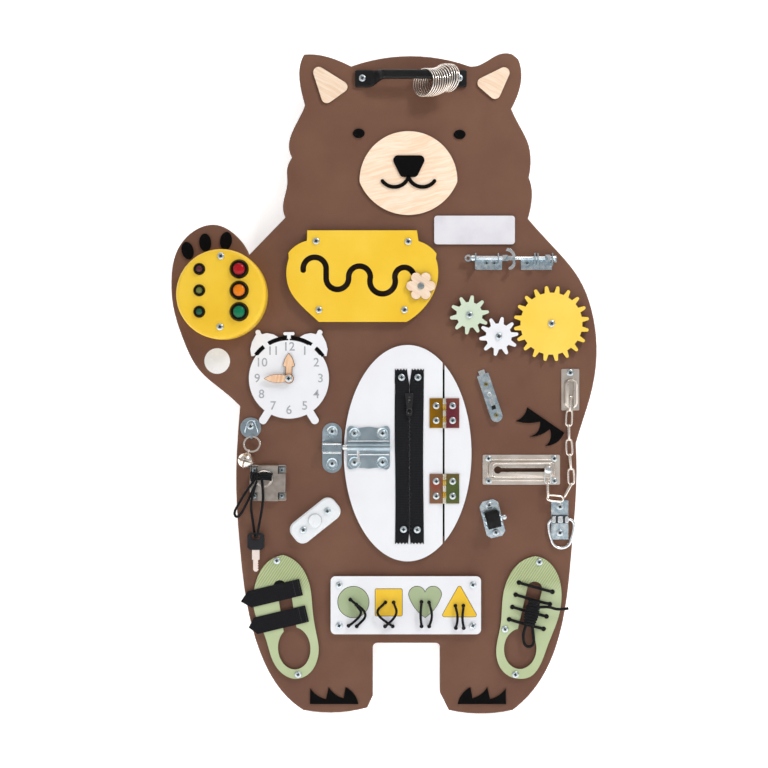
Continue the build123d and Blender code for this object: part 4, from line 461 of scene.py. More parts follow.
def woven(name, colours, across_mm, along_mm, turn, depth_mm=0.12):
    made, tree, shader, place = finish(name, colours[0], 0.8, Specular_IOR_Level=0.2, Sheen_Weight=0.05)
    turned_place = stretched(tree, place, (1, 1, 1), (0, turn, 0))
    threads = []
    for way, apart in (("X", across_mm), ("Z", along_mm)):
        wave = {"bands_direction": way, "Scale": per(apart) / WAVE_PERIOD, "Distortion": 0.4, "Detail": 1.0}
        threads.append(add(tree, "ShaderNodeTexWave", wave, {"Vector": turned_place}).outputs["Fac"])
    weave = calc(tree, "MAXIMUM", *threads)
    two_tone(tree, shader, weave, (0.2, 0.9), colours)
    relief(tree, shader, weave, depth_mm)
    return made


WEBBING = woven("black_hook_and_loop_webbing", ("#0b0b0e", "#131317"), 1.4, 1.1, STRAP_TURN, 0.05)
ZIP_TAPE = woven("black_zip_tape_twill", ("#09090b", "#17181c"), 0.9, 1.6, 0.0, 0.08)
BRAID = woven("black_round_braid", ("#060607", "#151518"), 1.0, 1.0, math.radians(45), 0.15)
print("woven goods ready")

# %% [markdown]
# Most hard pieces keep the shape of their solid, but a solid has knife edges and a real piece never has. A
# copy of the solid is merged, its flat areas are joined, and a Bevel modifier rounds what is left. The small
# rounded edges catch the light, and that thin bright line is what makes a render look like an object. Each
# face may get a finish of its own, so that a cut edge can be burnt brown while the front is painted.

# %% Softened copies of solids
SHARP_ANGLE = 32
scene = bpy.context.scene


def new_piece(name, mesh, body, *finishes):
    """A mesh becomes a piece that rides on a body."""
    piece = bpy.data.objects.new(name, mesh)
    scene.collection.objects.link(piece)
    for made in finishes:
        mesh.materials.append(made)
    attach(piece, body)
    return piece


def islands(bm):
    """The separate shells of a mesh, each as its faces and its box in millimetres as drawn."""
    left, groups = set(bm.faces), []
    while left:
        shell, edge = set(), [left.pop()]
        while edge:
            face = edge.pop()
            shell.add(face)
            for near in (f for e in face.edges for f in e.link_faces if f in left):
                left.discard(near)
                edge.append(near)
        spots = [drawn(v.co) for f in shell for v in f.verts]
        low = [min(s[i] for s in spots) for i in range(3)]
        high = [max(s[i] for s in spots) for i in range(3)]
        groups.append((shell, low, high))
    return sorted(groups, key=lambda g: (round(g[1][0], 1), round(g[1][1], 1), g[1][2]))


def merged(node):
    bm = bmesh.new()
    bm.from_mesh(nodes[node].data)
    bmesh.ops.remove_doubles(bm, verts=bm.verts, dist=2e-6)
    bmesh.ops.recalc_face_normals(bm, faces=bm.faces)
    return bm


def round_edges(piece, width_mm, segments=2):
    soft = piece.modifiers.new("rounded_edges", "BEVEL")
    soft.width = width_mm * MM
    soft.segments = segments
    soft.limit_method = "ANGLE"
    soft.angle_limit = math.radians(SHARP_ANGLE)
    soft.harden_normals = True


def smooth(mesh, angle=SHARP_ANGLE):
    mesh.shade_smooth()
    mesh.set_sharp_from_angle(angle=math.radians(angle))


def dress(name, node, finishes, rounding=0.35, choose=None, segments=2, curvy=0, join=True, fat=0.0,
          edge=None, reshape=None):
    """A copy of a solid with its finishes. choose(low, high, centre, normal) gives a face's finish or None,
    fat pushes the surface out by so many millimetres, and reshape(x, y, h) moves a point."""
    bm = merged(node)
    for shell, low, high in islands(bm):
        gone = []
        for face in shell:
            pick = choose(low, high, drawn(face.calc_center_median()), face.normal) if choose else 0
            if pick is None:
                gone.append(face)
            else:
                face.material_index = pick
        bmesh.ops.delete(bm, geom=gone, context="FACES")
    if join:
        bmesh.ops.dissolve_limit(bm, angle_limit=math.radians(0.6), verts=bm.verts, edges=bm.edges,
                                 delimit={"MATERIAL"})
    bm.normal_update()
    pushed = [v.co + v.normal * fat * MM for v in bm.verts]
    for v, place in zip(bm.verts, pushed):
        v.co = at(*reshape(*drawn(place))) if reshape else place
    mesh = bpy.data.meshes.new(name)
    bm.to_mesh(mesh)
    bm.free()
    piece = new_piece(name, mesh, body_of[node], *finishes)
    smooth(mesh)
    if curvy:
        soft = piece.modifiers.new("rounder", "SUBSURF")
        soft.levels = soft.render_levels = curvy
    elif rounding:
        round_edges(piece, rounding, segments)
        if edge is not None:
            piece.modifiers["rounded_edges"].material = edge
    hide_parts(node)
    return piece


def cut_edge(low, high, centre, normal):
    """1 on the sides of a sheet, 0 on its front and back."""
    return 1 if abs(normal.y) < 0.6 else 0


BURNT = speckled("laser_burnt_plywood_edge", "#5a3a28", ["#3d261a", "#5a3a28", "#7a5238"], 0.7, 4)
print("copying helpers ready")

# %% [markdown]
# The board and the flat pieces on it are sheet goods: cut in outline and screwed or glued on in layers.
# Their solids have the right outline already, so each is a softened copy. The ear inserts and the snout are
# birch with a burnt edge, the face pieces and claws are black sheet.

# %% Board and flat pieces
BELLS_FROM = 30.0
dress("painted_board", "bear_board", [BROWN], 0.5)
dress("ear_inserts_and_snout", "ears_and_snout", [BIRCH, BURNT, PALE_BIRCH], 0.3,
      choose=lambda low, high, c, n: 1 if abs(n.y) < 0.6 else (0 if high[0] - low[0] > 100 else 2))
dress("eyes_nose_pads_and_claws", "face_and_claws", [FELT_AND_PAINTED_SHADE], 0.4)
dress("maze_sheet", "maze_plate", [YELLOW, BURNT], 0.4, choose=cut_edge)
dress("clock_sheet", "clock_face", [WHITE, BURNT], 0.4,
      choose=lambda low, high, c, n: None if low[1] > BELLS_FROM else cut_edge(low, high, c, n))
dress("door_leaf", "door_panel", [WHITE, BURNT], 0.5, choose=cut_edge)
dress("door_edge_strip", "door_strip", [WHITE, BURNT], 0.5, choose=cut_edge)
dress("shape_sorter_plate", "shapes_plate", [WHITE, BURNT], 0.6, choose=cut_edge)
dress("shoe_sheets", "shoe_plates", [SHOE_GREEN, BURNT], 0.5, choose=cut_edge)
for shape, paint in (("circle", GREEN), ("square", YELLOW), ("heart", GREEN), ("triangle", YELLOW)):
    dress("sorter_" + shape, "shape_" + shape, [paint, BURNT], 0.5, choose=cut_edge)
for colour, paint in (("yellow", WARM_YELLOW), ("green", MINT), ("white", WHITE)):
    dress(colour + "_cog", "gear_" + colour, [paint, BURNT], 0.4, choose=cut_edge, join=False)
dress("flower_knob", "flower", [PALE_BIRCH, BURNT], 0.5, choose=cut_edge, edge=1)
dress("flower_bolt_shank", "flower_bolt", [DULL_SCREW], 0.3)
dress("minute_pointer", "minute_hand", [WARM_BIRCH, BURNT], 0.7, choose=cut_edge, edge=1)
print("flat pieces dressed")

# %% [markdown]
# The light box is a lacquered case with black rims. Its three push caps and three lamp lenses are clear
# coloured plastic, so each gets its own hue. Inside are battery cells in a tray, which nobody sees, but a
# cell has a shrink-wrapped sleeve, so it gets a plain satin one. The caps' flat tops are lowered a little,
# so that the domes set on them later reach the height of the real caps.

# %% Light box, lamps and push caps
SLEEVE = moulded("plain_grey_cell_sleeve", "#8d9299", 0.35)
LAMP_PITCH = 26.2
TOP_LENS_Y = 138.0
DOME_TALL = 2.4
CAP_LOWER = 2.3


def lamp_part(low, high, centre, normal):
    """Sleeves and tray lie low in the case, a lens stands above its rim, and the rest is a rim."""
    if high[2] < 30:
        return 5 if high[1] - low[1] < 15 and low[2] > 16 else 1
    is_lens = high[0] - low[0] <= 20 and high[2] > 51.5
    return 2 + round((TOP_LENS_Y - (low[1] + high[1]) / 2) / LAMP_PITCH) if is_lens else 0


dress("yellow_case", "light_box", [YELLOW], 0.6)
dress("lamp_rims_lenses_and_cells", "box_fittings",
      [DARK_RIM, BLACK_PLASTIC, LENSES["red"], LENSES["olive"], LENSES["green"], SLEEVE], 0.4,
      choose=lamp_part)
for colour in CAPS:
    dress(colour + "_push_cap", "button_" + colour, [CAPS[colour]], 0.6, segments=3,
          reshape=lambda x, y, h: (x, y, h - CAP_LOWER if h > 50 else h))
print("light box dressed")

# %% [markdown]
# Bought metal fittings. Brackets, plates and rods are zinc plated; the chain's two plates are nickel; the
# hinges are chromate, with bright knuckles, those of the board's half nearly white as a painted highlight.
# The ring and the links are round wire from coarse solids, so they get a Subdivision Surface instead of a
# bevel, and the chain hangs in a slight bow.

# %% Metal fittings
ROD_Y, ROD_R = 151.4, 4.3
CHAIN_BOW, CHAIN_TOP, CHAIN_RUN = 3.2, -6.0, 108.0
HINGE_X, KNUCKLE_HALF = 45.3, 3.2


def bowed(x, y, h):
    """The upper run of the chain hangs a little to the left in its middle."""
    along = min(1, max(0, (CHAIN_TOP - y) / CHAIN_RUN))
    return x - CHAIN_BOW * math.sin(math.pi * along), y, h


def hinge_part(low, high, centre, normal):
    """2 on the knuckles, 0 on the upper hinge's leaf and 1 on the lower one's."""
    return 2 if abs(centre[0] - HINGE_X) < KNUCKLE_HALF else 0 if low[1] > -100 else 1


dress("pressed_brackets_and_keeper", "bolt_brackets", [ZINC, LIGHT_ZINC], 0.5,
      choose=lambda low, high, c, n: 1 if high[0] > 0 else 0)
dress("rod_with_its_grip", "latch_rod", [LIGHT_ZINC, BRIGHT], 0.4,
      choose=lambda low, high, c, n: 1 if abs(c[1] - ROD_Y) > ROD_R else 0)
dress("latch_housing", "door_latch_plate", [ZINC], 0.6)
dress("latch_slide_with_lug", "door_latch_bolt", [BRIGHT], 0.5)
dress("flush_bolt_slide", "flush_bolt_tongue", [BRIGHT, BLACK_PLASTIC], 0.4,
      choose=lambda low, high, c, n: 1 if c[2] > 20.1 else 0)
dress("chain_anchor_and_keeper", "chain_plates", [NICKEL], 0.5)
dress("ring_plate_castor_plate_and_bell_disc", "ring_plates_and_fork", [ZINC, LIGHT_ZINC], 0.5,
      choose=lambda low, high, c, n: 1 if low[0] > 0 else 0)
for half, node, leaves in (("door", "hinge_leaves_door", [GOLD_LEAF, ORANGE_LEAF, GOLD_KNUCKLE]),
                           ("board", "hinge_leaves_fixed", [VIOLET_LEAF, OLIVE_LEAF, KNUCKLE_PAINTED_HIGHLIGHT])):
    dress("hinge_leaves_on_" + half, node, leaves, 0.3, choose=hinge_part)
dress("chain_slide_knob", "chain_knob", [BRIGHT], 0.3)
for name, node in (("upper_chain_run", "chain_upper"), ("lower_chain_run", "chain_lower")):
    dress(name, node, [WARM_WIRE], curvy=2, fat=0.62, reshape=bowed)
dress("tie_down_ring", "tie_ring", [BRIGHT], curvy=1, fat=0.1)
dress("split_ring", "bell_ring", [WARM_WIRE], 0.15, fat=0.25)
dress("jingle_bell_shell", "jingle_bell", [WARM_WIRE], 0.2)
dress("castor_tyre", "castor_wheel", [RUBBER], 1.0, segments=3)
dress("lock_case_and_bell_push_case", "lock_and_switch_cases", [GUNMETAL, WHITE_PLASTIC], 0.7,
      choose=lambda low, high, c, n: 1 if low[0] > -150 else 0)
dress("lock_core", "lock_cylinder", [BRIGHT], 0.4)
dress("key_with_black_head", "key", [KEY_PLASTIC, ROSE_NICKEL], 0.5,
      choose=lambda low, high, c, n: 1 if high[1] < -205 else 0)
dress("bell_push", "switch_button", [WHITE_PLASTIC], 0.6)
GLOSS_BLACK = moulded("black_lacquer_on_cast_zinc", "#131317", 0.12, Coat_Weight=0.5)
dress("zip_slider_body", "zip_slider", [GLOSS_BLACK], 0.5)
dress("zip_pull_tab", "zip_pull", [GLOSS_BLACK], 0.3)
dress("gear_washers", "panel_screws", [BLUE_STEEL], 0.3,
      choose=lambda low, high, c, n: 0 if high[0] - low[0] > 9.5 else None)
print("fittings dressed")

# %% [markdown]
# The same pan-head screw holds nearly everything, in several sizes. Copies placed by hand would be slow to
# change, so Geometry Nodes makes one head and sets it on a point for each screw. A head is a sphere whose
# height is bent into a low pan, and a cross recess is cut into it once, before it is repeated. Each head
# turns to its own angle from a fixed seed, as real screws end up at any angle.

# %% Screw heads by Geometry Nodes
# Painted shade: this dark finish goes into the screws' recesses, between the ring's knuckles and round the
# lock's pockets.
RECESS_AND_GAP_SHADE = speckled("screw_recess_in_shadow", "#505a5e", ["#23282b", "#343b3f", "#4a5358"], 0.6, 1.5,
                       metallic=0.3)
HEAD_D, HEAD_TALL = 9.0, 2.4


def socket(tree, name, kind, value=None, out=False):
    """An input or output of a node group. A modifier is set by the identifier that comes back."""
    way = "OUTPUT" if out else "INPUT"
    item = tree.interface.new_socket(name, in_out=way, socket_type="NodeSocket" + kind)
    if value is not None:
        item.default_value = value
    return item.identifier


def node_group(name, points, result, settings):
    """A new group with its points, its result, and settings that have a kind and a usual value."""
    tree = bpy.data.node_groups.new(name, "GeometryNodeTree")
    socket(tree, points, "Geometry")
    socket(tree, result, "Geometry", out=True)
    ids = {key: socket(tree, key, kind, value) for key, kind, value in settings}
    return tree, ids, add(tree, "NodeGroupInput").outputs


def real_copies(tree, copies, finish_output):
    """The copies made real, shaded smooth, in one finish."""
    real = add(tree, "GeometryNodeRealizeInstances", feeds={0: copies.outputs[0]})
    shaded = add(tree, "GeometryNodeSetShadeSmooth", {"Shade Smooth": True}, {0: real.outputs[0]})
    dressed = add(tree, "GeometryNodeSetMaterial",
                  feeds={"Geometry": shaded.outputs[0], "Material": finish_output})
    return dressed.outputs[0]


def screw_head_tree():
    tree, ids, given = node_group("screw_heads", "Points", "Heads", (
        ("Head height", "Float", HEAD_TALL * MM), ("Recess length", "Float", 4.0 * MM),
        ("Recess width", "Float", 1.5 * MM), ("Recess depth", "Float", 1.2 * MM), ("Seed", "Int", 7),
        ("Metal", "Material", None), ("Shadow", "Material", None)))
    ball = add(tree, "GeometryNodeMeshUVSphere", {"Segments": 28, "Rings": 16, "Radius": 1.0})
    spot = add(tree, "GeometryNodeInputPosition")
    parts = add(tree, "ShaderNodeSeparateXYZ", feeds={0: spot.outputs[0]}).outputs
    clear = calc(tree, "SUBTRACT", 1.0, parts["Z"], clamp=True)
    rise = calc(tree, "SUBTRACT", 1.0, calc(tree, "POWER", clear, 2.4))
    crown = calc(tree, "MAXIMUM", calc(tree, "MULTIPLY", rise, given["Head height"]), 0.0)
    wide = [calc(tree, "MULTIPLY", parts[a], HEAD_D / 2 * MM) for a in "XY"]
    head = add(tree, "GeometryNodeSetPosition",
               feeds={"Geometry": ball.outputs["Mesh"], "Position": vector(tree, *wide, crown)})
    base = calc(tree, "MULTIPLY", given["Recess depth"], 2.0)
    top = vector(tree, 0.0, 0.0, given["Head height"])
    cutters = add(tree, "GeometryNodeJoinGeometry")
    for sides in (("Recess length", "Recess width"), ("Recess width", "Recess length")):
        size = vector(tree, given[sides[0]], given[sides[1]], base)
        bar = add(tree, "GeometryNodeMeshCube", feeds={"Size": size})
        raised = add(tree, "GeometryNodeTransform",
                     feeds={"Geometry": bar.outputs["Mesh"], "Translation": top})
        tree.links.new(raised.outputs[0], cutters.inputs[0])
    marked = add(tree, "GeometryNodeStoreNamedAttribute",
                 {"data_type": "BOOLEAN", "domain": "FACE", "Name": "recess", "Value": True},
                 {"Geometry": cutters.outputs[0]})
    cut = add(tree, "GeometryNodeMeshBoolean",
              {"operation": "DIFFERENCE", "solver": "EXACT", "Self Intersection": True},
              {"Mesh 1": head.outputs[0], "Mesh 2": marked.outputs[0]})
    turn = add(tree, "FunctionNodeRandomValue", {"data_type": "FLOAT", 2: 0.0, 3: 1.57},
               {"Seed": given["Seed"]})
    facing = add(tree, "ShaderNodeCombineXYZ", {0: math.radians(90)}, {1: turn.outputs[1]})
    width = add(tree, "GeometryNodeInputNamedAttribute", {"data_type": "FLOAT", "Name": "size"})
    spread = add(tree, "GeometryNodeInstanceOnPoints",
                 feeds={"Points": given["Points"], "Instance": cut.outputs[0],
                        "Rotation": facing.outputs[0], "Scale": width.outputs[0]})
    metal = real_copies(tree, spread, given["Metal"])
    inside = add(tree, "GeometryNodeInputNamedAttribute", {"data_type": "BOOLEAN", "Name": "recess"})
    dark = add(tree, "GeometryNodeSetMaterial",
               feeds={"Geometry": metal, "Material": given["Shadow"],
                      "Selection": inside.outputs[0]})
    result = add(tree, "NodeGroupOutput")
    tree.links.new(dark.outputs[0], result.inputs[0])
    return tree, ids


def baked(host):
    """The plain mesh that a helper object comes to. The helper itself is removed."""
    mesh = bpy.data.meshes.new_from_object(host.evaluated_get(bpy.context.evaluated_depsgraph_get()))
    bpy.data.objects.remove(host)
    return mesh


def made_by(tree, ids, name, mesh, body, values):
    """Runs a node tree on a mesh and keeps the result as a plain piece."""
    host = bpy.data.objects.new(name + "_host", mesh)
    scene.collection.objects.link(host)
    run = host.modifiers.new("nodes", "NODES")
    run.node_group = tree
    for key, value in values.items():
        run[ids[key]] = value
    result = baked(host)
    result.name = name
    return new_piece(name, result, body)


def points_mesh(name, spots, sizes):
    mesh = bpy.data.meshes.new(name)
    mesh.from_pydata([at(*s) for s in spots], [], [])
    mesh.attributes.new("size", "FLOAT", "POINT").data.foreach_set("value", sizes)
    return mesh


# %% [markdown]
# Each head takes the place and the size of the plain one on its solid. The small screws of the rod's
# brackets and the ones in the lock are dull, the two in the flush bolt are olive, and the rest are bright.

# %% A head on every screw
SCREW_TREE, SCREW_IDS = screw_head_tree()
HEAD_METALS = {"bright": SCREW_ZINC, "dull": DULL_SCREW, "olive": OLIVE_SCREW}
WIDEST_HEAD = 9.5


def head_kind(x, y, size):
    """The metal of a screw head and how much larger or smaller it is than the one on the solid."""
    if 90 < x < 116 and -46 < y < 4:
        return "olive", 0.62
    if x < -155 and -150 < y < -100:
        return "dull", 0.78
    if size < 0.8:
        return ("dull", 1.0) if y > 100 else ("bright", 1.35 if y < -80 else 1.0)
    return "bright", 1.0


for node in ("panel_screws", "door_screws"):
    bm = merged(node)
    heads = [(low, high) for shell, low, high in islands(bm) if high[0] - low[0] < WIDEST_HEAD]
    bm.free()
    groups = {"bright": [], "dull": [], "olive": []}
    for low, high in heads:
        x, y, size = (low[0] + high[0]) / 2, (low[1] + high[1]) / 2, (high[0] - low[0]) / HEAD_D
        kind, factor = head_kind(x, y, size)
        groups[kind].append(((x, y, high[2] - HEAD_TALL), size * factor))
    for kind, members in groups.items():
        if not members:
            continue
        screws = made_by(SCREW_TREE, SCREW_IDS, f"{node}_{kind}_heads",
                         points_mesh(node, [m[0] for m in members], [m[1] for m in members]), body_of[node],
                         {"Seed": 7, "Metal": HEAD_METALS[kind], "Shadow": RECESS_AND_GAP_SHADE})
        smooth(screws.data, 40)
        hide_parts(node)
        print(node, kind, "heads:", len(members), "faces:", len(screws.data.polygons))

# %% [markdown]
# Laces and cords are soft, so each is one smooth spline through a few given points, thick as the real
# cord. A NURBS curve keeps every bend round. The points are in millimetres as drawn, and a cord says where
# it starts, how long and how thick it is.

# %% Cords and laces
def spline(name, points, diameter, order, resolution, closed=False, soft=True):
    """A round curve through points, and its line. soft bends it smoothly, otherwise it has corners."""
    curve = bpy.data.curves.new(name, "CURVE")
    curve.dimensions = "3D"
    line = curve.splines.new("NURBS" if soft else "POLY")
    line.points.add(len(points) - 1)
    for spot, place in zip(line.points, points):
        spot.co = (*at(*place), 1.0)
    if soft:
        line.order_u = order
        line.use_endpoint_u = not closed
    line.use_cyclic_u = closed
    curve.resolution_u = resolution
    curve.bevel_depth = diameter / 2 * MM
    curve.bevel_resolution = 3
    curve.use_fill_caps = not closed
    return curve, line


def cord(name, node, points, diameter):
    """A cord that rides on its node's body and stands for that node."""
    curve, line = spline(name, points, diameter, order=3, resolution=12)
    piece = new_piece(name, curve, body_of[node], BRAID)
    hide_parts(node)
    return piece


CORD_D = 3.2
LACE_D = 3.6
LEFT_LOOP = [(-188, -117, 28.3), (-199, -131, 28.3), (-210, -149, 25), (-217, -161, 21.5),
             (-214.5, -168, 20.5), (-208, -163.5, 21.5), (-200, -148, 26), (-190.5, -128, 28.8)]
KEY_LOOP = [(-182, -117, 28.3), (-179.8, -134, 28.8), (-180.6, -152, 28.5), (-184, -170, 27.6),
            (-187.9, -192, 27.4), (-191.1, -192, 18.6), (-193.6, -170, 22), (-195.6, -154, 27),
            (-193, -137, 29.3), (-187.5, -121.5, 31.7)]
cord("loop_at_the_lock", "key_cord", LEFT_LOOP, CORD_D)
cord("loop_that_holds_the_key", "key_cord", KEY_LOOP, CORD_D)
TETHERS = {
    "circle": [((-72, -269.5), (-48.5, -286.5), (-63.9, -302.7), 4),
               ((-64.5, -275.7), (-55.5, -285.5), (-74.1, -302), 8.5)],
    "square": [((-28.3, -272.9), (-42.5, -285.5), (-19.2, -302.7), 4),
               ((-18, -272.9), (-12.5, -286), (-28.7, -302.7), 8.5)],
    "heart": [((16.7, -272.3), (15, -287.5), (16.7, -302.7), 4),
              ((26, -272.9), (30.5, -288.5), (26.2, -302.7), 4)],
    "triangle": [((58.8, -277), (62, -291), (59.4, -304.8), 4),
                 ((68.8, -277), (66.6, -291), (69.1, -304.8), 8)],
}
for shape, pair in TETHERS.items():
    for side, (start, middle, end, rise) in zip(("a", "b"), pair):
        top = 22.9 + rise
        route = [(*start, 18.5), (*start, top), (*middle, top + 1), (*end, top), (*end, 18.5)]
        cord(f"tether_{shape}_{side}", "cord_" + shape, route, CORD_D)
LACE_LEFT = [(138.3, -248.9), (134.3, -264), (130.1, -279.3), (126.1, -294.8)]
LACE_RIGHT = [(180.1, -260.4), (176.8, -275.8), (172.6, -291.1), (169.1, -306.6)]
for i, (start, end) in enumerate(zip(LACE_LEFT, LACE_RIGHT)):
    span = Vector(end) - Vector(start)
    inner = span.normalized() * 1.2
    a, b = Vector(start) + inner, Vector(end) - inner
    route = [(*a, 17.6), (*a, 22.1), (*b, 22.1), (*b, 17.6)]
    cord(f"lace_bar_{i + 1}", "laces", route, LACE_D)
KNOT_X, KNOT_Y = 153, -281.5
BOW = [(-4.5, -15, 26.3), (-9.5, -27, 23.6), (-9.5, -38, 21.4), (-7.5, -45.5, 21.1), (-1.5, -47.5, 21.1),
       (3.5, -44, 21.2), (3.5, -33, 22.4), (0.5, -16.5, 26.3)]
LOOSE_END = [(9, 3, 27.3), (21, 4.5, 28.9), (33, -0.5, 27.3), (46, 1.5, 26.3)]
for name, route, far_end in (("bow_loop", BOW, "knot"), ("loose_lace_end", LOOSE_END, "bare")):
    cord(name, "laces", [(KNOT_X + x, KNOT_Y + y, h) for x, y, h in route], LACE_D)

# %% [markdown]
# Some pieces have no solid of their own, or only a plain one. Flat ones are cut from an outline, turned ones
# are a profile spun about an axis that points out of the wall, and wires are a thin curve made a mesh. These
# three helpers are the maker's saw, lathe and pliers.

# %% Saw, lathe and pliers
def bend(cx, cy, r, start, end, steps=10):
    """Points on an arc, in degrees, counter-clockwise from the right."""
    turns = [math.radians(start + (end - start) * i / steps) for i in range(steps + 1)]
    return [(cx + r * math.cos(t), cy + r * math.sin(t)) for t in turns]


def rounded_box(cx, cy, w, h, r, steps=6):
    """A rectangle with round corners."""
    points = []
    for sx, sy, start in ((1, 1, 0), (-1, 1, 90), (-1, -1, 180), (1, -1, 270)):
        points += bend(sx * (w / 2 - r), sy * (h / 2 - r), r, start, start + 90, steps)
    return [(cx + x, cy + y) for x, y in points]


def mesh_from(bm, name):
    """The built-up faces as a mesh whose normals point outward."""
    bmesh.ops.recalc_face_normals(bm, faces=bm.faces)
    mesh = bpy.data.meshes.new(name)
    bm.to_mesh(mesh)
    bm.free()
    return mesh


def sawn(name, outline, low, high, body, finishes, rounding=0.3):
    """A flat piece: its outline, carried from low to high out of the wall."""
    bm = bmesh.new()
    back = [bm.verts.new(at(x, y, low)) for x, y in outline]
    front = [bm.verts.new(at(x, y, high)) for x, y in outline]
    bm.faces.new(back)
    bm.faces.new(front)
    for i in range(len(outline)):
        j = (i + 1) % len(outline)
        side = bm.faces.new((back[i], back[j], front[j], front[i]))
        side.material_index = len(finishes) - 1
    mesh = mesh_from(bm, name)
    piece = new_piece(name, mesh, body, *finishes)
    smooth(mesh)
    if rounding:
        round_edges(piece, rounding)
    return piece


def lathed(name, profile, x, y, body, finishes, steps=40, pick=None):
    """A turned piece: (radius, h) points spun about an axis out of the wall at x, y. pick(k) is the finish of
    the band from point k to the next."""
    bm = bmesh.new()
    rings = []
    for r, h in profile:
        if r < 0.001:
            rings.append([bm.verts.new(at(x, y, h))] * steps)
        else:
            rings.append([bm.verts.new(at(px, py, h)) for px, py in bend(x, y, r, 0, 360, steps)[:-1]])
    for k in range(len(rings) - 1):
        for i in range(steps):
            j = (i + 1) % steps
            corners = []
            for v in (rings[k][i], rings[k][j], rings[k + 1][j], rings[k + 1][i]):
                if v not in corners:
                    corners.append(v)
            face = bm.faces.new(corners)
            face.material_index = pick(k) if pick else 0
    mesh = mesh_from(bm, name)
    piece = new_piece(name, mesh, body, *finishes)
    smooth(mesh)
    return piece


def wire(name, points, diameter, body, made, closed=False, soft=True):
    """A round wire through points."""
    curve = spline(name, points, diameter, order=4, resolution=8, closed=closed, soft=soft)[0]
    host = bpy.data.objects.new(name + "_host", curve)
    scene.collection.objects.link(host)
    mesh = baked(host)
    piece = new_piece(name, mesh, body, made)
    smooth(mesh, 50)
    return piece


print("saw, lathe and pliers ready")

# %% [markdown]
# The pull handle is one bent strap of moulded plastic: two flat feet, and between them a bar that stands off
# the board far enough for a hand. Its width and its height change together and smoothly, so it is built as a
# row of rounded sections along its length, each with its own height, width and thickness.

# %% Pull handle
def lofted(name, sections, body, made, node):
    """A bar from rounded sections (x, y low, y high, h low, h high, corner radius)."""
    bm = bmesh.new()
    rings = []
    for x, y0, y1, h0, h1, r in sections:
        ring = rounded_box((y0 + y1) / 2, (h0 + h1) / 2, y1 - y0, h1 - h0, r, steps=5)
        rings.append([bm.verts.new(at(x, y, h)) for y, h in ring])
    count = len(rings[0])
    for a, b in zip(rings, rings[1:]):
        for i in range(count):
            j = (i + 1) % count
            bm.faces.new((a[i], a[j], b[j], b[i]))
    bm.faces.new(rings[0])
    bm.faces.new(rings[-1])
    mesh = mesh_from(bm, name)
    piece = new_piece(name, mesh, body, made)
    smooth(mesh, 40)
    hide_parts(node)
    return piece


low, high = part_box("pull_handle")
handle_x, handle_y = (low[0] + high[0]) / 2 / MM, (low[2] + high[2]) / 2 / MM
end, rise = (high[0] - low[0]) / 2 / MM, -low[1] / MM - FACE
FOOT, FOOT_HALF, FOOT_T = 27.0, 10.7, 5.0
BAR_HALF, BAR_T, BAR_RAISED = 5.75, 7.0, 1.7
STATIONS = 60


def ease(t):
    """From 0 to 1 with a slow start and a slow end."""
    t = min(1.0, max(0.0, t))
    return t * t * (3 - 2 * t)


sections = []
for i in range(STATIONS + 1):
    u = -end + 2 * end * i / STATIONS
    inward = end - abs(u)
    slim = ease((inward - FOOT + 11) / 22.0)
    lift = ease((inward - FOOT + 7) / 16.0)
    half = FOOT_HALF + (BAR_HALF - FOOT_HALF) * slim - 0.9 * (1 - ease(inward / 2.0))
    top = FOOT_T + (rise - FOOT_T) * lift
    thick = FOOT_T + (BAR_T - FOOT_T) * lift
    bottom = max(0.05, top - thick) if inward > FOOT - 7 else 0.05
    middle = handle_y + BAR_RAISED * slim
    sections.append((handle_x + u, middle - half, middle + half, FACE + bottom, FACE + top, 1.6 + 1.2 * slim))
lofted("black_pull_handle", sections, "board", BLACK_PLASTIC, "pull_handle")
print("handle sections:", len(sections))

# %% [markdown]
# Twelve wire rings hang on the handle and slide along it. Each solid tells where its ring is. The ring
# itself is a circle of round wire, turned so that the row is seen slantwise.

# %% Rings on the handle
RING_R, RING_WIRE, RING_LOWERED = 17.2, 1.6, 2.3
RING_TURN = math.radians(-44.0)
bm = merged("handle_rings")
rings = islands(bm)
for i, (shell, low, high) in enumerate(rings):
    x, y, h = [(a + b) / 2 for a, b in zip(low, high)]
    around = [(x + RING_R * math.cos(t) * math.cos(RING_TURN), y + RING_R * math.sin(t),
               h - RING_LOWERED - RING_R * math.cos(t) * math.sin(RING_TURN))
              for t in [math.tau * k / 24 for k in range(24)]]
    ring = wire(f"handle_ring_{i + 1}", around, RING_WIRE, "rings", WARM_WIRE, closed=True)
    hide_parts("handle_rings")
bm.free()
print("rings:", len(rings))

# %% [markdown]
# Each push cap and lamp has a domed top, which throws one small bright spot. The dome is turned, thin and
# clear coloured, and sits on a flat top. The push caps were lowered for it above, so a dome ends where the
# solid does.

# %% Domes of caps and lamps
def dome(name, x, y, base, r, tall, body, made):
    profile = [(0, base + tall)] + [(r * math.sin(t), base + tall * math.cos(t))
                                    for t in [math.radians(a) for a in (12, 24, 36, 48, 60, 72, 84)]]
    lathed(name, profile + [(r, base - 0.3), (0, base - 0.3)], x, y, body, [made])


LENS_X, LENS_H, LENS_R, LENS_TALL = -257.0, 51.5, 3.4, 1.6
WIDEST_DOME, DOME_INSET, DOME_SUNK = 7.3, 0.4, 0.3
for colour, lens in zip(CAPS, LENSES):
    node = "button_" + colour
    low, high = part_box(node)
    x, y, top = (low[0] + high[0]) / 2 / MM, (low[2] + high[2]) / 2 / MM, -low[1] / MM
    r = min((high[0] - low[0]) / 2 / MM, WIDEST_DOME) - DOME_INSET
    dome(colour + "_cap_dome", x, y, top - CAP_LOWER - DOME_SUNK, r, DOME_TALL, body_of[node], CAPS[colour])
    dome(lens + "_lens_dome", LENS_X, y, LENS_H, LENS_R, LENS_TALL, "board", LENSES[lens])
print("domes ready")

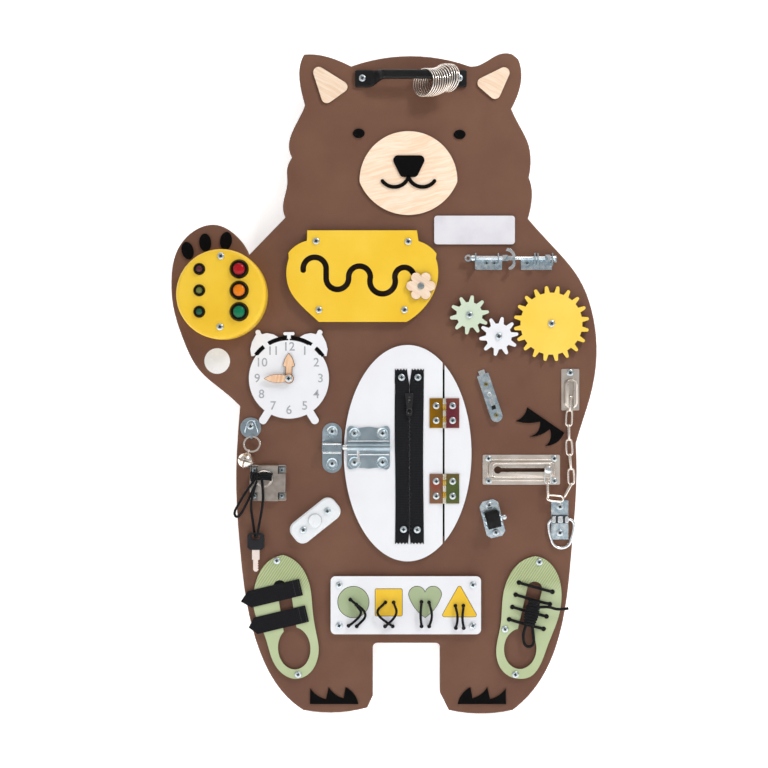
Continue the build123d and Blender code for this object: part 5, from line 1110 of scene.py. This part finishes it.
# %% [markdown]
# The latch and its keeper are pressed, and round each screw the press has raised a dished boss that hides
# the screw's edge from small fingers. Each is a low ring, turned with its soft shoulder outside. The raised
# edges of the bolt's channel are beads of wire.

# %% Dished bosses round the latch screws
LATCH_BOSSES = [(x, y) for x in (-66.8, -31.8) for y in (-98.7, -62.7)]
KEEPER_X, KEEPER_BOSS_Y = -94.8, (-60.5, -100.5)
LATCH_BEAD_X = (-75, -49.25, -23.5)


def boss(name, x, y, base, body):
    ring = [(4.2, base - 0.05), (5.0, base + 0.25), (6.4, base + 0.9), (7.4, base + 0.85), (8.1, base - 0.05),
            (4.2, base - 0.05)]
    lathed(name, ring, x, y, body, [LIGHT_ZINC])


for i, (x, y) in enumerate(LATCH_BOSSES):
    boss(f"latch_boss_{i + 1}", x, y, 20.5, "door")
for i, y in enumerate(KEEPER_BOSS_Y):
    boss(f"keeper_boss_{i + 1}", KEEPER_X, y, 16.5, "board")
for i, y in enumerate((-72.6, -88.8)):
    wire(f"latch_bead_{i + 1}", [(x, y, 20.9) for x in LATCH_BEAD_X], 2.4, "door", BRIGHT)
for i, y in enumerate((-75.6, -86.4)):
    crest = [(-106, y, 28.9), (-95, y, 29.1), (-83.5, y, 28.9)]
    wire(f"keeper_bead_{i + 1}", crest, 2.6, "board", BRIGHT)
print("bosses ready")

# %% [markdown]
# Small fittings that the solids leave out: the strap that holds the split ring to its disc, the hinge
# knuckles of the tie-down ring, and the sunk square pockets of the lock's case and its bowl. A dark sheet
# between the knuckles and a dark square round each pocket are painted shade.

# %% Strap eye, knuckles, pockets and lock bowl
TIE_X, TIE_Y = 189.6, -170.0
LOCK_X, LOCK_Y = -179.3, -119.1
POCKETS = [(-191.6, -108.7), (-157.6, -108.7), (-157.6, -140.7), (-191.6, -140.7)]
STRAP_EYE = [(-203.2, -61.5, 18.6), (-203.6, -58.5, 19.8), (-201.2, -54, 20.2), (-200.6, -48.6, 20.2),
             (-195.4, -45.2, 20.2), (-190.2, -48.6, 20.2), (-189.6, -54, 20.2), (-187.2, -58.5, 19.8),
             (-187.6, -61.5, 18.6)]
BOWL = [(0, 26.35), (8.4, 26.4), (9.2, 26.7), (9.8, 27.0), (10.5, 27.0), (10.9, 26.5), (10.9, 25.9),
        (0, 25.9)]
wire("bell_strap_eye", STRAP_EYE, 1.6, "board", LIGHT_ZINC)
fold = rounded_box(TIE_X, TIE_Y, 20.5, 9.4, 0.6)
# Painted shade: a dark sheet that shows between the knuckles.
sawn("painted_shade_between_the_knuckles", fold, 21.6, 22.0, "board", [RECESS_AND_GAP_SHADE], 0)
for i, (x, w) in enumerate(((-8.0, 4.4), (0.0, 6.4), (8.0, 4.4))):
    knuckle = rounded_box(TIE_X + x, TIE_Y, w, 8.0, 1.2)
    sawn(f"ring_knuckle_{i + 1}", knuckle, 21.7, 23.2, "board", [BRIGHT], 0.7)
# Each pocket gets a dark square as painted shadow along its upper and left edges, with its floor on it.
for i, (x, y) in enumerate(POCKETS):
    shadow = rounded_box(x, y, 9.6, 9.6, 0.8)
    pocket = rounded_box(x + 0.5, y - 0.6, 8.2, 8.0, 0.6)
    sawn(f"pocket_shadow_{i + 1}", shadow, 16.52, 16.6, "board", [RECESS_AND_GAP_SHADE], 0)
    sawn(f"pocket_floor_{i + 1}", pocket, 16.6, 16.7, "board", [GUNMETAL], 0)
lathed("lock_bowl", BOWL, LOCK_X, LOCK_Y, "plug", [GUNMETAL, WARM_WIRE], pick=lambda k: 0 if k < 1 else 1)
print("strap eye, knuckles, pockets and bowl ready")

# %% [markdown]
# More small forms that catch the light: the stepped frame pressed into the chain's keeper, the nut on the
# castor's axle, the wire loop at the end of the zip's pull, and the dimple in the flush bolt.

# %% Frame, nut, loop and dimple
KEEPER_FRAMES = [(141.5, -108.7, 83.0, 26.0, 16.7), (142.0, -108.9, 73.5, 17.0, 21.5)]
NUT = [(0, 30.2), (1.8, 30.0), (2.9, 29.0), (3.2, 27.4), (3.2, 23), (0, 23)]
DIMPLE = [(0, 19.9), (1.2, 19.95), (2.0, 20.25), (2.5, 20.3), (2.9, 19.9), (0, 19.8)]
for i, (x, y, wide, tall, h) in enumerate(KEEPER_FRAMES):
    frame_line = [(px, py, h) for px, py in rounded_box(x, y, wide, tall, 3.5)]
    wire(f"keeper_frame_bead_{i + 1}", frame_line, 1.5, "board", WARM_WIRE, closed=True, soft=False)
lathed("castor_axle_cap", NUT, 119.3, -166.5, "board", [BRIGHT], steps=24)
low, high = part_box("zip_pull")
pull_x, pull_y = (low[0] + high[0]) / 2 / MM, high[2] / MM - 15.5
loop = [(pull_x + x, pull_y + y, 25.0) for x, y in bend(0, 0, 3.3, 0, 360, 16)[:-1]]
wire("zip_pull_loop", loop, 1.5, body_of["zip_pull"], GLOSS_BLACK, closed=True)
lathed("flush_bolt_dimple", DIMPLE, 101.3, -13.8, "board", [BRIGHT], steps=24)
print("small metal details ready")

# %% [markdown]
# A name plate and a round label belong to the board, but both stay bare: the plate is a painted piece of
# plywood with round corners, the label a thin glossy sticker. Their faint edge and shadow are all there is
# to see.

# %% Bare plate and bare label
PLATE = speckled("pale_lilac_painted_plate", "#dedce2", ["#dad8de", "#e1dfe5", "#e5e3e8"], 0.45, 30)
STICKER, tree, shader, place = finish("white_vinyl_label", "#f2f2f2", 0.25)
sheen_change(tree, shader, place, 12, 0.2, 0.32)
sawn("bare_name_plate", rounded_box(83, 191, 101, 36, 4), 15, 18, "board", [PLATE, BURNT], 0.4)
sawn("bare_round_label", bend(-238.5, 27.5, 16, 0, 354, 59), 15, 15.3, "board", [STICKER], 0)
print("bare plate and label ready")

# %% [markdown]
# The clock's two bells are sawn in one piece with the dial, with a deep slot between them that lies in shade.
# Each bell is drawn once and mirrored. A small ball tops it, a white bridge joins it to the dial, and black
# arcs fill the slots as painted shade. The hour hand is a barbed arrow of birch with a round hub.

# %% Bells, slots and hour hand of the clock
CLOCK = (-148.6, 5.6)
HALF_BELL = [(46.8, 30.0), (48.0, 39.0), (46.0, 47.5), (42.4, 54.5), (40.6, 57.5), (38.5, 60.6), (35.5, 60.6),
             (33.2, 57.8), (27.0, 59.2), (19.0, 57.6), (13.2, 54.2), (12.0, 50.6), (17.5, 49.6), (25.0, 46.6),
             (32.0, 42.0), (38.0, 36.5), (42.8, 30.4)]
for side, name in ((-1, "left"), (1, "right")):
    bell = [(CLOCK[0] + side * (x + 0.4), CLOCK[1] + y - 2.3) for x, y in HALF_BELL]
    ball = bend(CLOCK[0] + side * 38.6, CLOCK[1] + 57.6, 3.4, 0, 345, 23)
    piece = sawn(f"{name}_clock_bell", bell, 15, 19, "board", [WHITE, BURNT], 0.5)
    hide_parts("clock_face")
    sawn(f"{name}_clock_bell_ball", ball, 15, 19.02, "board", [WHITE, BURNT], 0.5)
for i, (start, stop) in enumerate(((128.5, 120), (56.5, 48.5))):
    link = bend(*CLOCK, 54.2, start, stop, 4) + bend(*CLOCK, 47.5, stop, start, 4)
    sawn(f"white_bridge_to_the_bell_{i + 1}", link, 15, 19.05, "board", [WHITE, BURNT], 0.2)
# Painted shade: black arcs in the slots between the bells and the dial.
for i, (start, stop) in enumerate(((144.5, 128), (120.5, 94), (86, 56), (49, 33))):
    arc = bend(*CLOCK, 53.2, start, stop, 8) + bend(*CLOCK, 48.9, stop, start, 8)
    sawn(f"painted_shade_in_the_dial_slot_{i + 1}", arc, 15.02, 19.15, "board", [FELT_AND_PAINTED_SHADE], 0.2)
low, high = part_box("hour_hand")
BARB = [(0, 32.0), (2.8, 28.4), (5.2, 24.5), (6.3, 20.5), (7.5, 16.6), (6.8, 14.8), (4.3, 14.3), (4.2, 6.2)]
arrow = BARB + bend(0, 0, 6.2, 48, -228, 24) + [(-x, y) for x, y in reversed(BARB[1:])]
hand = [(CLOCK[0] + x, CLOCK[1] + y) for x, y in arrow]
hour = sawn("hour_pointer", hand, -high[1] / MM, -low[1] / MM, body_of["hour_hand"], [WARM_BIRCH, BURNT], 0.6)
hour.modifiers["rounded_edges"].material = 1
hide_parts("hour_hand")
print("clock ready")

# %% [markdown]
# The maze's slot and the gap beside the door are open, so what lies behind them is seen. A thin dark sheet
# is painted shade on the floor of the maze, and a black strip is painted shade in the gap.

# %% Painted shade behind the openings
SLOT_FLOOR_SHADE = speckled("painted_shade_on_the_slot_floor", "#2b1a10", ["#26160d", "#2b1a10", "#311e13"], 0.8, 20)


def upright_box(x0, x1, y0, y1):
    """The four corners of a box, from the lower left one."""
    return [(x0, y0), (x1, y0), (x1, y1), (x0, y1)]


low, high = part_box("maze_plate")
floor = upright_box(low[0] / MM + 12, high[0] / MM - 12, low[2] / MM + 28, high[2] / MM - 28)
sawn("painted_shade_on_the_maze_floor", floor, 15.02, 15.12, "board", [SLOT_FLOOR_SHADE], 0)
low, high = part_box("door_strip")
gap = upright_box(43.0, 45.8, low[2] / MM + 6, high[2] / MM - 6)
sawn("painted_shade_in_the_door_gap", gap, 15.02, 15.2, "board", [FELT_AND_PAINTED_SHADE], 0)
print("dark floors ready")

# %% [markdown]
# The clock's numbers are engraved outlines, filled with pale grey. Blender's own text makes them: each
# number is a text object turned into a mesh, a fifth of a millimetre thick. Numbers on a dial belong to no
# brand.

# %% Numbers on the dial
INK = speckled("grey_engraved_numbers", "#a9acb2", ["#9fa2a8", "#a9acb2", "#b5b8bd"], 0.6, 2)
DIAL_R, NUMBER_TALL = 39.5, 15.2


def number(text, x, y, size):
    letters = bpy.data.curves.new("number_" + text, "FONT")
    letters.body = text
    letters.size = size * MM
    letters.align_x = "CENTER"
    letters.align_y = "CENTER"
    letters.extrude = 0.1 * MM
    letters.offset = 0.16 * MM
    letters.resolution_u = 4
    host = bpy.data.objects.new("number_host", letters)
    scene.collection.objects.link(host)
    mesh = baked(host)
    mesh.transform(Matrix.Translation(at(x, y, 19.05)) @ Matrix.Rotation(math.radians(90), 4, "X"))
    return mesh


bm = bmesh.new()
for hour in range(1, 13):
    angle = math.radians(90 - 30 * hour)
    x, y = CLOCK[0] + DIAL_R * math.cos(angle), CLOCK[1] + DIAL_R * math.sin(angle)
    bm.from_mesh(number(str(hour), x, y, NUMBER_TALL))
mesh = bpy.data.meshes.new("dial_numbers")
bm.to_mesh(mesh)
bm.free()
new_piece("dial_numbers", mesh, "board", INK)
print("numbers:", len(mesh.polygons), "faces")

# %% [markdown]
# The zip is two tapes with pinked ends and a coil of teeth between them. A tape is a thin strip that ripples
# a little where it is screwed down. It is built as a grid, two millimetres across, so that the ripple and
# the zigzag ends can be set point by point, and a Solidify modifier gives it its thickness.

# %% Zip tapes
ZIP_TOP, ZIP_END, TAPE_H = 18.0, -201.0, 19.1
PINK_DEEP = 2.6


def tape(name, outer, inner):
    """One tape: outer and inner give its two edges at a height y."""
    rows, columns = 110, 8
    bm = bmesh.new()
    grid = []
    for i in range(rows + 1):
        y = ZIP_TOP + (ZIP_END - ZIP_TOP) * i / rows
        line = []
        for j in range(columns + 1):
            x = outer(y) + (inner(y) - outer(y)) * j / columns
            pinked = PINK_DEEP if j % 2 else 0.0
            yy = y - pinked if i == 0 else y + pinked if i == rows else y
            ripple = 0.16 + 0.14 * math.sin(y / 6.5 + j) * math.sin(y / 17.0)
            line.append(bm.verts.new(at(x, yy, TAPE_H + ripple)))
        grid.append(line)
    for i in range(rows):
        for j in range(columns):
            bm.faces.new((grid[i][j], grid[i][j + 1], grid[i + 1][j + 1], grid[i + 1][j]))
    bmesh.ops.recalc_face_normals(bm, faces=bm.faces)
    if sum(f.normal.y for f in bm.faces) > 0:
        bmesh.ops.reverse_faces(bm, faces=bm.faces)
    mesh = bpy.data.meshes.new(name)
    bm.to_mesh(mesh)
    bm.free()
    piece = new_piece(name, mesh, "door", ZIP_TAPE)
    smooth(mesh, 60)
    thick = piece.modifiers.new("cloth_thickness", "SOLIDIFY")
    thick.thickness = 0.6 * MM
    thick.offset = 1.0
    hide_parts("zip_tapes")


def wedge(y):
    """Half of the opening between the tapes: wide at the top, closed below the slider, open at the end."""
    return max(0.2, 3.2 * (y + 2) / 20, 1.4 * (-184 - y) / 15)


ZIP_X = 1.6
tape("left_zip_tape", lambda y: -16.2 + 0.5 * math.sin(y / 31) - (0.4 if y > 0 else 0),
     lambda y: ZIP_X - wedge(y))
tape("right_zip_tape", lambda y: 19.3 + 0.5 * math.sin(y / 37 + 1), lambda y: ZIP_X + wedge(y))
print("zip tapes ready")

# %% [markdown]
# The coil is about seventy small teeth that hook from left and right in turn. Geometry Nodes puts a rounded
# tooth on each point of a line and moves every second one across, so the pitch and the width stay single
# numbers.

# %% Zip teeth by Geometry Nodes
def repeat_tree(name, sides):
    """Rounded pegs along a line, every second one moved across by the named offset."""
    tree, ids, given = node_group(name, "Line", "Pegs", (
        ("Pitch", "Float", 2.4 * MM), ("Peg length", "Float", 3.6 * MM), ("Peg width", "Float", 1.7 * MM),
        ("Peg height", "Float", 1.6 * MM), ("Offset", "Float", 0.6 * MM), ("Finish", "Material", None)))
    curve = add(tree, "GeometryNodeMeshToCurve", feeds={0: given["Line"]})
    spots = add(tree, "GeometryNodeCurveToPoints", {"mode": "LENGTH"},
                {"Curve": curve.outputs[0], "Length": given["Pitch"]})
    odd = calc(tree, "MODULO", add(tree, "GeometryNodeInputIndex").outputs[0], 2.0)
    swing = calc(tree, "MULTIPLY_ADD", odd, 2.0, -1.0)
    move = vector(tree, calc(tree, "MULTIPLY", swing, given["Offset"]))
    moved = add(tree, "GeometryNodeSetPosition", feeds={"Geometry": spots.outputs[0], "Offset": move})
    peg = add(tree, "GeometryNodeMeshUVSphere", {"Segments": sides, "Rings": 6, "Radius": 0.5})
    size = vector(tree, given["Peg length"], given["Peg height"], given["Peg width"])
    set_out = add(tree, "GeometryNodeInstanceOnPoints",
                  feeds={"Points": moved.outputs[0], "Instance": peg.outputs["Mesh"], "Scale": size})
    result = add(tree, "NodeGroupOutput")
    tree.links.new(real_copies(tree, set_out, given["Finish"]), result.inputs[0])
    return tree, ids


def line_mesh(name, a, b):
    mesh = bpy.data.meshes.new(name)
    mesh.from_pydata([at(*a), at(*b)], [(0, 1)], [])
    return mesh


PEG_TREE, PEG_IDS = repeat_tree("pegs_on_a_line", 8)
TEETH = speckled("black_nylon_zip_coil", "#15161a", ["#0e0f12", "#1a1b20", "#262830"], 0.45, 1.2)
zip_line = line_mesh("zip_line", (ZIP_X, -14, 20.2), (ZIP_X, -188, 20.2))
teeth = made_by(PEG_TREE, PEG_IDS, "zip_teeth", zip_line, "door", {"Finish": TEETH})
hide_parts("zip_tapes")
print("zip teeth:", len(teeth.data.polygons), "faces")

# %% [markdown]
# The left shoe's straps are black hook-and-loop webbing with a pointed tip and a folded, sewn end. Webbing
# is stiff enough to lie nearly flat, so each strap is cut as a band whose faces swell by half a millimetre,
# and its fold is a second layer with a row of stitches. Cloth simulation would make it limp, which it is
# not.

# %% Straps of the left shoe
STITCH = speckled("black_polyester_stitches", "#26262c", ["#1c1c22", "#2c2c34", "#3a3a44"], 0.6, 1.0)
STRAP_H, STRAP_T, STRAP_HALF = 19.3, 1.55, 10.5


def strap_spot(end, along, across):
    """A point on a strap: along its length to the left of its sewn end, and across it."""
    return (end[0] - along * math.cos(STRAP_TURN) - across * math.sin(STRAP_TURN),
            end[1] - along * math.sin(STRAP_TURN) + across * math.cos(STRAP_TURN))


def strap(name, node, end, length, tip):
    """A band from its sewn end, so long and then running to a point over the length of its tip."""
    body = body_of[node]
    rows = [(0.6, 1.0)] + [(u, 1.0) for u in range(4, int(length), 4)] + [(length, 1.0)]
    rows += [(length + tip * t, 1.0 - t) for t in (0.25, 0.5, 0.75, 0.96)]
    bm = bmesh.new()
    grid = {}
    for side in (0, 1):
        for i, (u, w) in enumerate(rows):
            for j in range(9):
                v = -1 + j / 4
                swell = (1 - v ** 4) * 0.25 if side else 0.0
                wave = 0.12 * math.sin(u / 7.0 + end[0]) if side else 0.0
                x, y = strap_spot(end, u, STRAP_HALF * w * v)
                grid[side, i, j] = bm.verts.new(at(x, y, STRAP_H + (STRAP_T + swell + wave if side else 0.0)))
    count = len(rows)
    for i in range(count - 1):
        for j in range(8):
            bm.faces.new([grid[1, i, j], grid[1, i, j + 1], grid[1, i + 1, j + 1], grid[1, i + 1, j]])
            bm.faces.new([grid[0, i, j], grid[0, i + 1, j], grid[0, i + 1, j + 1], grid[0, i, j + 1]])
        for j in (0, 8):
            bm.faces.new([grid[0, i, j], grid[1, i, j], grid[1, i + 1, j], grid[0, i + 1, j]])
    for j in range(8):
        for i in (0, count - 1):
            bm.faces.new([grid[0, i, j], grid[0, i, j + 1], grid[1, i, j + 1], grid[1, i, j]])
    mesh = mesh_from(bm, name)
    band = new_piece(name, mesh, body, WEBBING)
    smooth(mesh, 50)
    round_edges(band, 0.3)
    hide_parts(node)
    fold = [strap_spot(end, u, v) for u, v in ((0, -10.3), (0, 10.3), (11, 10.3), (11, -10.3))]
    sawn(name + "_fold", fold, STRAP_H + 1.3, STRAP_H + 2.3, body, [WEBBING], 0.35)
    for k, u in enumerate((2.2, 9.0)):
        a, b = strap_spot(end, u, -9), strap_spot(end, u, 9)
        thread = line_mesh("stitch_line", (*a, STRAP_H + 2.3), (*b, STRAP_H + 2.3))
        made_by(PEG_TREE, PEG_IDS, f"{name}_stitches_{k}", thread, body,
                {"Pitch": 2.2 * MM, "Peg length": 0.6 * MM, "Peg width": 1.7 * MM, "Peg height": 0.5 * MM,
                 "Offset": 0.0, "Finish": STITCH})


strap("upper_strap_band", "strap_upper", (-133.3, -254.3), 66.0, 11.5)
strap("lower_strap_band", "strap_lower", (-125.8, -287.3), 66.0, 9.0)
sawn("black_dot_under_strap", bend(-160, -254, 8.1, 0, 350, 35), 19.02, 19.25, "board", [WEBBING], 0)
print("straps ready")

# %% [markdown]
# The lace's knot is a flat bundle of the same braid: nine turns side by side round the lace, each a short
# thick ring of cord. The tie on the lock is three strands across its bowl with three turns round them, and a
# small flat knot sits at each hole where a cord goes through.

# %% Knot and tie
def bundle(name, centre, turn, width, pitch, count, low, high, diameter):
    """Turns of cord side by side, each a flat loop over the lace."""
    c, s = math.cos(math.radians(turn)), math.sin(math.radians(turn))
    for k in range(count):
        off = (k - (count - 1) / 2) * pitch
        half = width / 2 - diameter / 2 - 0.5 * abs(k - (count - 1) / 2)
        h0, h1 = low + diameter / 2, high - diameter / 2
        level = (h0 + h1) / 2
        ring = [(-half, h0), (0, h0 - 0.1), (half, h0), (half + 0.6, level), (half, h1), (0, h1 + 0.4),
                (-half, h1), (-half - 0.6, level)]
        points = [(centre[0] + u * c - off * s, centre[1] + u * s + off * c, h) for u, h in ring]
        wire(f"{name}_{k + 1}", points, diameter, "board", BRAID, closed=True)


bundle("lace_knot_turn", (KNOT_X + 0.5, KNOT_Y - 4), -13, 18.5, 3.4, 9, 24.3, 30.9, 3.7)
for k, y in enumerate((-112.6, -116.0, -119.3)):
    strand = [(-196 + k, y - 1.0, 28.0), (-188, y, 28.3), (-180, y + 0.6 * (k - 1), 28.5), (-172, y, 28.1),
              (-168.5 - k, y - 0.8, 27.6)]
    wire(f"tie_strand_{k + 1}", strand, 3.3, "board", BRAID)
for k, x in enumerate((-194.5, -191.3, -188.4)):
    turn = [(x + 0.8 * math.cos(a), -116 + (5.6 - k * 0.4) * math.sin(a), 28.6 + 2.3 * math.cos(a))
            for a in [math.tau * i / 8 for i in range(8)]]
    wire(f"tie_knot_turn_{k + 1}", turn, 2.8, "board", BRAID, closed=True)
KNOT_SPOTS = {"laces": [(*p, 20.0, 5.6) for p in LACE_LEFT + LACE_RIGHT]}
for shape, pair in TETHERS.items():
    KNOT_SPOTS["cord_" + shape] = [(*spot, 24.4, 4.9) for start, middle, end, rise in pair
                                   for spot in (start, end)]
for node, spots in KNOT_SPOTS.items():
    for i, (x, y, h, wide) in enumerate(spots):
        r = wide / 2
        pad = [(0, h + 1.0), (r * 0.5, h + 0.9), (r * 0.85, h + 0.4), (r, h - 0.3), (r * 0.85, h - 1.0),
               (0, h - 1.2)]
        lathed(f"{node}_knot_{i + 1}", pad, x, y, body_of[node], [BRAID], steps=16)
print("knots ready")
